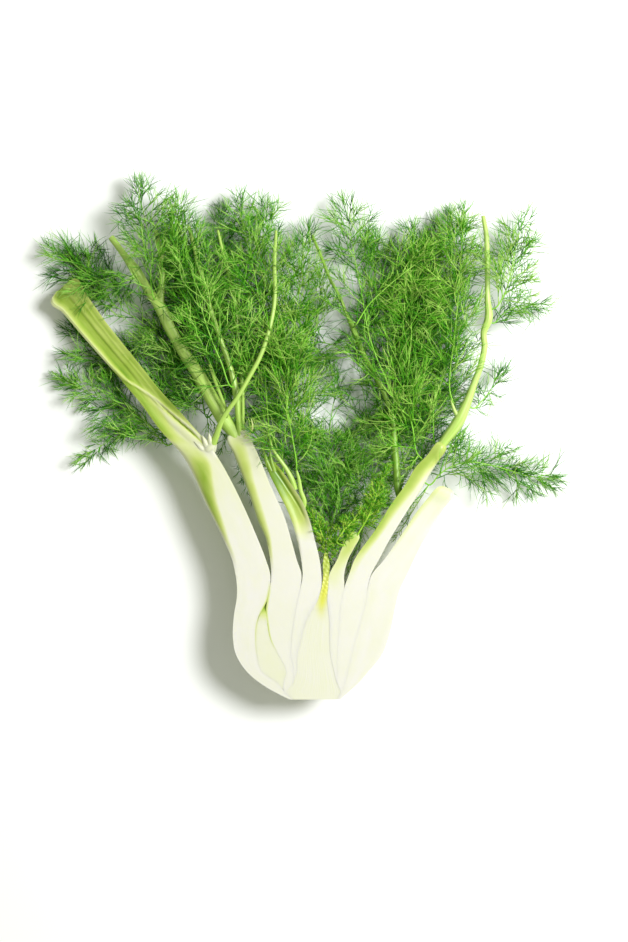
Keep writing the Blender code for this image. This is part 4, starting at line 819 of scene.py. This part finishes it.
def lid_shares(count):
    """Places across a cut face, the outer ones close to its rim, so that the rim stays crisp."""
    shares = np.arange(1, count) / count
    shares[0] = RIM
    shares[-1] = 1.0 - RIM
    return shares


def half_outline(level):
    angle = np.radians(ANGLES)
    left = AXIS_X[level] - LEFT_EDGE[level]
    right = RIGHT_EDGE[level] - AXIS_X[level]
    across = np.where(ANGLES < 90.0, left, right)
    depth = BACK_DEPTH[level]
    radius = ((np.abs(np.cos(angle)) / across) ** 2 + (np.sin(angle) / depth) ** 2) ** -0.5
    flat = CUT_Z / np.maximum(np.sin(angle), 0.05)
    return np.minimum(radius, flat)


def wrap_thickness(keel, reach, slack):
    fall = min(TAPER_LIMIT, TAPER_SHARE * reach)
    margin = min(keel, MARGIN)
    taper = margin + (keel - margin) * np.exp(-(ANGLES / fall) ** TAPER_POWER)
    return taper + MARGIN * (slack - 1.0) * smoothstep(0.0, FACE_EDGE, ANGLES)


def polar_points(level, side, angles, radii):
    turn = np.radians(angles)
    reach = np.interp(angles, ANGLES, radii)
    return np.stack([AXIS_X[level] + side * reach * np.cos(turn),
                     np.full(len(angles), LEVEL_Y[level]), CUT_Z - reach * np.sin(turn)], axis=1)


def stalk_ring(edge_out, edge_in, depth, top=CUT_Z, groove=0.0):
    """A stalk's section: round underneath, flat or grooved on top."""
    start = np.array([*edge_out, top])
    end = np.array([*edge_in, top])
    middle = (start + end) / 2
    half = (end - start) / 2

    def under(angles):
        turn = np.radians(angles)
        drop = depth * np.maximum(np.sin(turn), 0.0) ** FULLNESS
        return middle - half * np.cos(turn)[:, None] - drop[:, None] * [0, 0, 1]

    share = np.linspace(0.0, 1.0, SPOKES)
    f = 1.0 - 2.0 * lid_shares(ACROSS)
    lid = middle + half * f[:, None] - (groove * (1 - f * f))[:, None] * [0, 0, 1]
    return np.vstack([under(OUTER_TURN * share), under(180.0 - INNER_TURN * share[:-1])[::-1], lid])


def wrap_ring(level, side, spread, outer_radius, inner_radius):
    angles = np.linspace(0.0, 1.0, SPOKES) ** SPOKE_POWER * spread
    outer = polar_points(level, side, angles, outer_radius)
    inner = polar_points(level, side, angles[:-1], inner_radius)
    share = lid_shares(ACROSS)[:, None]
    lid = inner[0] * (1 - share) + outer[0] * share
    return np.vstack([outer, inner[::-1], lid])


def layer_sections():
    rings = {row[0]: [] for row in WRAPS}
    core = []
    for level, y in enumerate(LEVEL_Y):
        room = half_outline(level)
        for name, side, first, reach, outs, ins in WRAPS:
            index = level - first
            if index < -1 or index >= len(outs):
                continue
            own = room if side < 0 else room[::-1]
            spread = reach * SPOKE_SPREAD[level]
            if index < 0:
                outer = own - KEEL_GAP
                rings[name].append(wrap_ring(level, side, spread, outer, outer - ROOT_SHEET))
                continue
            keel_out = abs(outs[index] - AXIS_X[level]) + (KEEL_SPREAD if first else 0.0)
            keel_in = abs(ins[index] - AXIS_X[level]) - KEEL_SPREAD
            outer = own - (own[0] - keel_out) * np.exp(-ANGLES / KEEL_FADE)
            inner = outer - wrap_thickness(keel_out - keel_in, spread, SLACK[level])
            gap = KEEL_GAP + (WRAP_GAP * SLACK[level] - KEEL_GAP) * smoothstep(0.0, FACE_EDGE, ANGLES)
            beyond = smoothstep(spread + BEYOND[0], spread + BEYOND[1], ANGLES)
            own = (inner - gap * FUSED[level]) * (1.0 - beyond) + own * beyond
            room = own if side < 0 else own[::-1]
            ring = wrap_ring(level, side, spread, outer, inner)
            if level in STALK_BLEND and name in STALKS:
                depth = STALKS[name][0][2] + JOIN_DEPTH
                stalk = stalk_ring((outs[index], y), (ins[index], y), depth)
                ring = ring + (stalk - ring) * STALK_BLEND[level]
            rings[name].append(ring)
        if level < CORE_LEVELS:
            core.append(core_ring(level, room))
    return rings, core


def core_ring(level, room):
    """The core reaches in a little under the leaf bases, just below the cut face."""
    angles = 180.0 * np.linspace(0.0, 1.0, 2 * SPOKES)
    room = room + CORE_SPREAD * np.exp(-np.minimum(ANGLES, 180.0 - ANGLES) / CORE_FADE)
    back = polar_points(level, -1, angles, room) - (0.0, 0.0, CORE_DROP)
    share = lid_shares(2 * ACROSS)[:, None]
    return np.vstack([back, back[-1] * (1 - share) + back[0] * share])


def bands(table, name, u, y):
    """The strength of each of a stalk's bands at a share across it and a distance along it."""
    for rows in table.get(name, []):
        places, *columns = zip(*rows)
        middle, half, strength = (np.interp(y, places, column) for column in columns)
        inside = (y > places[0]) & (y < places[-1])
        yield strength * inside * np.clip(1.0 - ((u - middle) / half) ** 2, 0.0, 1.0)


def top_tone(name, u, y):
    """The cut face turns a little greener towards the stems, apart from its bands."""
    tone = rise(y, *TOP_GREEN)
    for green in bands(GREENS, name, u, y):
        tone = np.maximum(tone, green)
    for pale in bands(PALES, name, u, y):
        tone = tone * (1.0 - pale)
    return tone


def dress_stalk(name, rings):
    """Rounds the shoulder of a stalk, raises its ribs and gives every point its green."""
    outer = slice(0, SPOKES)
    inner = slice(SPOKES, INNER_EDGE)
    lid = slice(INNER_EDGE + 1, None)
    y = rings[:, :, 1]
    u = 1.0 - lid_shares(ACROSS)[None]
    tone = SKIN_TONE + rise(y, *SKIN_GREEN)
    # Inner walls: greener, as painted shade and light through the flesh in the slits.
    tone[:, inner] = POCKET_TONE + rise(y[:, inner], *POCKET_SHADE_GREEN)
    tone[:, lid] = top_tone(name, u, y[:, lid])
    for edge, corner in ((0, 0.0), (INNER_EDGE, 1.0)):
        tone[:, edge] = top_tone(name, corner, y[:, edge])
    if name in SHOULDERS:
        share = np.interp(y[:, lid].mean(axis=1), *zip(*SHOULDERS[name]))
        width = np.linalg.norm(rings[:, 0] - rings[:, INNER_EDGE], axis=1)
        drop = SHOULDER_DROP * share * width
        below = rings[:, :1, 2] - rings[:, outer, 2]
        inside = np.clip(1.0 - u / np.maximum(share, 1e-6)[:, None], 0.0, 1.0)
        rings[:, lid, 2] -= drop[:, None] * (1.0 - np.sqrt(1.0 - inside ** 2))
        rings[:, outer, 2] -= drop[:, None] * np.exp(-below / np.maximum(2.0 * drop, 1e-3)[:, None])
    for height in bands(RIDGES, name, u, y[:, lid]):
        rings[:, lid, 2] += height
    if name in RIBS:
        count, height, first, full = RIBS[name]
        wave = np.cos(2.0 * math.pi * count * u) + 0.7 * np.cos(3.4 * math.pi * count * u + 1.0)
        wave = wave * smoothstep(first, full, y[:, lid])
        rings[:, lid, 2] += height * wave
        tone[:, lid] -= RIB_TONE * wave
    return tone


def shrunk(ring, share, move):
    middle = ring.mean(axis=0)
    return middle + (ring - middle) * share + move


def closed_top(name, rows):
    """Two more sections that close a stalk or the bud softly."""
    last = rows[-1]
    if name not in STALKS:
        return [shrunk(last, share, move) for share, move in BUD_CLOSE]
    way = unit((last - rows[-2]).mean(axis=0))
    return [shrunk(last, share, way * step) for share, step in STALK_CLOSE]


def bud_tone(body):
    """Pale in the middle and green along the edges and at the tip."""
    x, y = body[:, :, 0], body[:, :, 1]
    low, high = x.min(axis=1)[:, None], x.max(axis=1)[:, None]
    edge = np.abs(2.0 * (x - low) / (high - low) - 1.0)
    return SKIN_TONE + edge ** 8 * rise(y, *BUD_EDGE) + rise(y, *BUD_TIP)


def build_bulb(materials):
    rings, core = layer_sections()
    kinds = [SKIN] * INNER_EDGE + [FLESH] * ACROSS
    for order, (name, *_) in enumerate(WRAPS):
        rows = rings[name] + [stalk_ring(*row) for row in STALKS.get(name, [])]
        body, along = smooth(rows + closed_top(name, rows), ROW_STEP)
        tone = dress_stalk(name, body)
        body[:, :, 2] = np.maximum(body[:, :, 2], 0.0)
        body[:, INNER_EDGE:, 2] += LAYER_STEP * order
        body[:, 0, 2] += LAYER_STEP * order
        if name == "axillary_bud":
            tone = bud_tone(body)
        parts = [(body, along, kinds, {"tone": tone})]
        parts += [stem_part(path, STEM_KINDS[name], STEM_TONES[name]) for path in STEMS.get(name, [])]
        parts += [stem_part(path, FLESH, TORN_TONES[name]) for path in TORN_BITS.get(name, [])]
        place(name, ring_mesh(name, parts), materials, "stalk" if name in STALKS else "bud")
    core.append(core[-1] + CORE_TIP)
    body, along = smooth(core, ROW_STEP)
    kinds = [SKIN] * (2 * SPOKES - 1) + [FLESH] * (2 * ACROSS)
    values = {"warm": glow(body[:, :, 0], body[:, :, 1]), "tone": np.full(body.shape[:2], CORE_TONE)}
    place("core", ring_mesh("core", [(body, along, kinds, values)]), materials[:2], "flesh")


# Stems and the heart


def stem_part(path, kind, tone):
    """A round stem, swollen a little where its path says so."""
    points, along = smooth(path, ROW_STEP)
    way = unit(np.gradient(points[:, :3], axis=0))
    rings = points[:, None, :3] + points[:, None, 3:] * spokes_round(way, (0.0, 0.0, 1.0), STEM_SIDES)
    return rings, along, [kind] * STEM_SIDES, {"tone": np.full(rings.shape[:2], tone)}


def build_stems(material):
    for name, paths in STEMS.items():
        if name not in STALKS:
            parts = [stem_part(path, ONLY, STEM_TONES.get(name, STEM_TONE)) for path in paths]
            place(name, ring_mesh(name, parts), [material], "stem")


def glow(x, y):
    """How yellow the flesh is where the youngest leaves grow out of it."""
    middle = np.interp(y, *GLOW_MIDDLE)
    width = np.interp(y, *GLOW_WIDTH)
    return rise(y, *GLOW) * np.exp(-((x - middle) / width) ** 2)


def build_heart(flesh):
    rings = []
    turn = 2 * np.pi * np.arange(HEART_SIDES) / HEART_SIDES
    for y, x, half, depth in HEART:
        drop = np.where(turn < np.pi, depth, 0.0) * np.sin(turn)
        rings.append(np.stack([x - half * np.cos(turn), np.full(HEART_SIDES, y), HEART_Z - drop], axis=1))
    body, along = smooth(rings, HEART_STEP)
    x, y = body[:, :, 0], body[:, :, 1]
    knobs = np.sin(1.3 * y + 1.1) * np.sin(2.3 * x + 0.7 * y) + 0.6 * np.sin(3.1 * y)
    top = slice(HEART_SIDES // 2 + 1, None)
    body[:, top, 2] += (1.2 + knobs[:, top]) * rise(y[:, top], *HEART_CROWN)
    values = {"tone": CORE_TONE + rise(y, *HEART_GREEN) + knobs * rise(y, *KNOB_GREEN),
              "warm": glow(x, y) * (1.0 - rise(y, *GLOW_END))}
    mesh = ring_mesh("heart_bud", [(body, along, [ONLY] * HEART_SIDES, values)])
    place("heart_bud", mesh, [flesh], "heart")


# Fronds


def wall_tree():
    """A search tree over the solid stalks and stems, in millimetres."""
    whole = bmesh.new()
    for name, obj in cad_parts.items():
        if not name.startswith(("frond", "young")):
            whole.from_mesh(obj.data)
    bmesh.ops.scale(whole, vec=(1 / MM, 1 / MM, 1 / MM), verts=whole.verts)
    tree = BVHTree.FromBMesh(whole)
    whole.free()
    return tree


def bare(point):
    """True where a thread would hide or shade the table that shows between the leaves."""
    spots = ((point.x, point.y), (point.x - SLANT[0] * point.z, point.y - SLANT[1] * point.z))
    return any(((x - middle_x) / half_x) ** 2 + ((y - middle_y) / half_y) ** 2 < 1.0
               for x, y in spots for middle_x, middle_y, half_x, half_y in BARE)


def arc(start, way, pull, bend, length, steps):
    """A line that starts along one direction and is drawn towards another."""
    points = [start]
    for _ in range(steps):
        way = (way + pull * (bend / steps)).normalized()
        here = points[-1] + way * (length / steps)
        here.z = max(here.z, TABLE_TOUCH)
        points.append(here)
    return points


def spot_on(line, reach):
    """The place and direction at a number of steps along a line."""
    k = min(len(line) - 2, int(reach))
    return line[k].lerp(line[k + 1], reach - k), (line[k + 1] - line[k]).normalized()


class Frond:
    """One feathery leaf: a slim stem, side branches and the thread leaves along them."""

    def __init__(self, name, kind, walls):
        low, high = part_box(name)
        self.low = Vector(low) / MM - Vector(BOX_SPARE)
        self.high = Vector(high) / MM + Vector(BOX_SPARE)
        self.brightest = BRIGHTEST[kind]
        self.spacing, self.twig_spacing, self.twig_length, self.outer_twig, self.thick = GROWTH[kind]
        self.walls = walls
        self.draw = random.Random(name + str(SEED))
        self.bundle = Bundle()
        self.level = 0.0
        self.free = False

    def fits(self, points):
        """In the solid leaf's box, clear of the stalks and mostly off the bare table."""
        for point in points[1:]:
            if not self.free and any(point[k] < self.low[k] or point[k] > self.high[k] for k in range(3)):
                return False
        for point in (points[len(points) // 2], points[-1]):
            hit, normal, _, gap = self.walls.find_nearest(point, WALL_SEARCH)
            if hit is not None and (gap < WALL_GAP or (point - hit).dot(normal) < 0.0):
                return False
        return not (any(bare(point) for point in points[1:]) and self.draw.random() < BARE_SHARE)

    def stray(self, size):
        return Vector([self.draw.gauss(0, size) for _ in range(3)])

    def sideways(self, along, size):
        """A direction square to a line, level but for some chance."""
        return along.cross(UP + self.stray(size)).normalized()

    def stations(self, reach, end, hand, spacing):
        """Places along a line, on one hand and then on the other."""
        while reach < end:
            yield reach, hand
            hand = -hand
            reach += spacing * self.draw.uniform(0.6, 1.4)

    def add(self, line, thick, thin, sides):
        """Threads above the slim stem are painted lighter, as painted light, and the ones below it darker,
        as painted shade.
        """
        height = line[len(line) // 2].z - self.level
        light = max(-PAINTED_LIGHT_LIMIT, min(PAINTED_LIGHT_LIMIT, height * PAINTED_LIGHT_BY_HEIGHT))
        tone = max(0.0, self.draw.uniform(0.0, self.brightest) + light)
        self.bundle.add(line, thick, thin, tone, min(1.0, tone + TIP_TONE), sides)

    def fitted(self, start, way, pull, *tries):
        """The first arc that fits, out of a few tries: the bend, the length and the steps of each."""
        for bend, length, steps in tries:
            line = arc(start, way, pull, bend, length, steps)
            if self.fits(line):
                return line
        return None

    def thread(self, start, way, pull, length, thick):
        steps = 2 if length < 5.0 else 3 if length < 10.0 else 4
        line = self.fitted(start, way, pull, (1.3, length, steps), (0.7, length * 0.55, 2))
        if line:
            self.add(line, thick, THREAD_TIP, 3)
        return line

    def twig(self, start, way, pull, length):
        """A thread leaf with two forks."""
        draw = self.draw
        line = self.thread(start, way, pull, length, THREAD)
        if line is None:
            return
        hand = draw.choice((-1, 1))
        for reach, share in FORKS:
            fork, along = spot_on(line, reach)
            turn = along + self.sideways(along, 0.9) * hand * draw.uniform(0.4, 1.0)
            pull = along + self.stray(0.7)
            self.thread(fork, turn.normalized(), pull, length * share * draw.uniform(0.7, 1.2), FORKED)
            hand = -hand

    def branch(self, start, way, pull, length):
        draw = self.draw
        line = self.fitted(start, way, pull, *((0.8, size, BRANCH_STEPS) for size in (length, length / 2)))
        if line is None:
            return
        self.add(line, *BRANCH, 4)
        begin = length * draw.uniform(0.1, 0.25)
        for reach, hand in self.stations(begin, length, draw.choice((-1, 1)), self.twig_spacing):
            here, along = spot_on(line, reach / length * BRANCH_STEPS)
            flat = self.sideways(along, 0.6)
            out = along * draw.uniform(0.4, 1.1) + flat * hand * draw.uniform(0.4, 1.2) + self.stray(0.3)
            size = ((length - reach) * 0.2 + self.twig_length) * draw.uniform(0.6, 1.3)
            self.twig(here, out.normalized(), along * 0.8 + self.stray(0.7), size)
        for _ in range(2):
            self.twig(line[-1], along + self.stray(0.2), along + self.stray(0.4), self.twig_length * 0.8)

    def grow(self, path, reach_root, reach_middle):
        draw = self.draw
        first = Vector(path[0])
        hit, normal, _, _ = self.walls.find_nearest(first)
        root = hit - normal * ROOT_SINK
        points, along = smooth([root, *path], MIDRIB_STEP)
        points = [Vector(p) for p in points]
        self.bundle.add(points, self.thick, MIDRIB_TIP, *MIDRIB_TONES, 6)
        total = along[-1]
        begin = (first - root).length + 2.0
        for reach, hand in self.stations(begin, total - 1.0, 1, self.spacing):
            share = reach / total
            k = min(len(points) - 2, int(share * (len(points) - 1)))
            way = (points[k + 1] - points[k]).normalized()
            side = way.cross(UP).normalized()
            self.level = points[k].z
            size = reach_root + (reach_middle - reach_root) * min(1.0, share * 2)
            size *= 1.0 - END_LOSS * max(0.0, share - END_FROM) / (1.0 - END_FROM)
            lift = math.radians(draw.gauss(*LIFT))
            out = side * hand * math.cos(lift) + UP * math.sin(lift)
            ahead = draw.uniform(0.3, 1.5) - 0.6 * (share < 0.12)
            turn = (out + way * ahead).normalized()
            size *= draw.uniform(0.6, 1.25)
            self.branch(points[k], turn, way * 0.7 + self.stray(0.6), size)
        for _ in range(3):
            self.branch(points[-1], way + self.stray(0.35), way, 10.0)

    def reach_out(self, rows):
        self.free = True
        self.twig_length = self.outer_twig
        for start, *branches in rows:
            for *way, length in branches:
                self.branch(Vector(start), Vector(way).normalized(), Vector(way), length)


def build_fronds():
    walls = wall_tree()
    leaves = {kind: leaf_surface(kind) for kind in LEAF_COLOURS}
    for name, (kind, *reaches, path) in FRONDS.items():
        frond = Frond(name, kind, walls)
        if name in SHORT_TWIGS:
            frond.twig_length = SHORT_TWIGS[name]
        frond.grow(path, *reaches)
        frond.reach_out(REACHING.get(name, []))
        place(name, frond.bundle.mesh(name), [leaves[kind]], kind)


# Table, light and camera


def build_table():
    mesh = bpy.data.meshes.new("table")
    corners = [(x * TABLE_HALF, y * TABLE_HALF, 0) for x, y in ((-1, -1), (1, -1), (1, 1), (-1, 1))]
    mesh.from_pydata(corners, [], [(0, 1, 2, 3)])
    surface = Surface("white_board", 0.55)
    surface.colour(surface.ramp(surface.blotch(120.0), TABLE_COLOURS))
    mesh.materials.append(surface.material)
    add_object("table", mesh)


def build_light():
    world = bpy.data.worlds.new("room")
    bpy.context.scene.world = world
    world.use_nodes = True
    sky = world.node_tree.nodes["Background"]
    sky.inputs["Color"].default_value = SKY_COLOUR
    sky.inputs["Strength"].default_value = SKY_STRENGTH
    window = bpy.data.lights.new("window", "AREA")
    window.shape = "DISK"
    window.size = WINDOW_SIZE
    window.energy = WINDOW_POWER
    lamp = add_object("window", window)
    lamp.location = WINDOW_AT
    lamp.rotation_euler = (Vector(WINDOW_AIM) - Vector(WINDOW_AT)).to_track_quat("-Z", "Y").to_euler()


def build_camera():
    camera = bpy.data.cameras.new("camera")
    camera.lens = LENS
    camera.sensor_width = 36.0
    camera.clip_end = 10.0
    eye = add_object("camera", camera)
    eye.location = EYE_AT
    bpy.context.scene.camera = eye
    bpy.context.scene.view_settings.view_transform = "Standard"


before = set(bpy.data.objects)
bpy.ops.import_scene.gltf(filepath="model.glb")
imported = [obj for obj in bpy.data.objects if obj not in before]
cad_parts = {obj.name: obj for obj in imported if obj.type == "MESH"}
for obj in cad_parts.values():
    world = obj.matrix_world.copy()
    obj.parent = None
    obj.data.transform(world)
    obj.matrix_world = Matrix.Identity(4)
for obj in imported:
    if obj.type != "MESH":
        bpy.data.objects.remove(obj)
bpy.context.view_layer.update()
build_table()
build_light()
build_camera()
flesh_material = flesh_surface()
stem_material = stem_surface()
build_bulb([flesh_material, skin_surface(), stem_material])
build_heart(flesh_material)
build_stems(stem_material)
build_fronds()
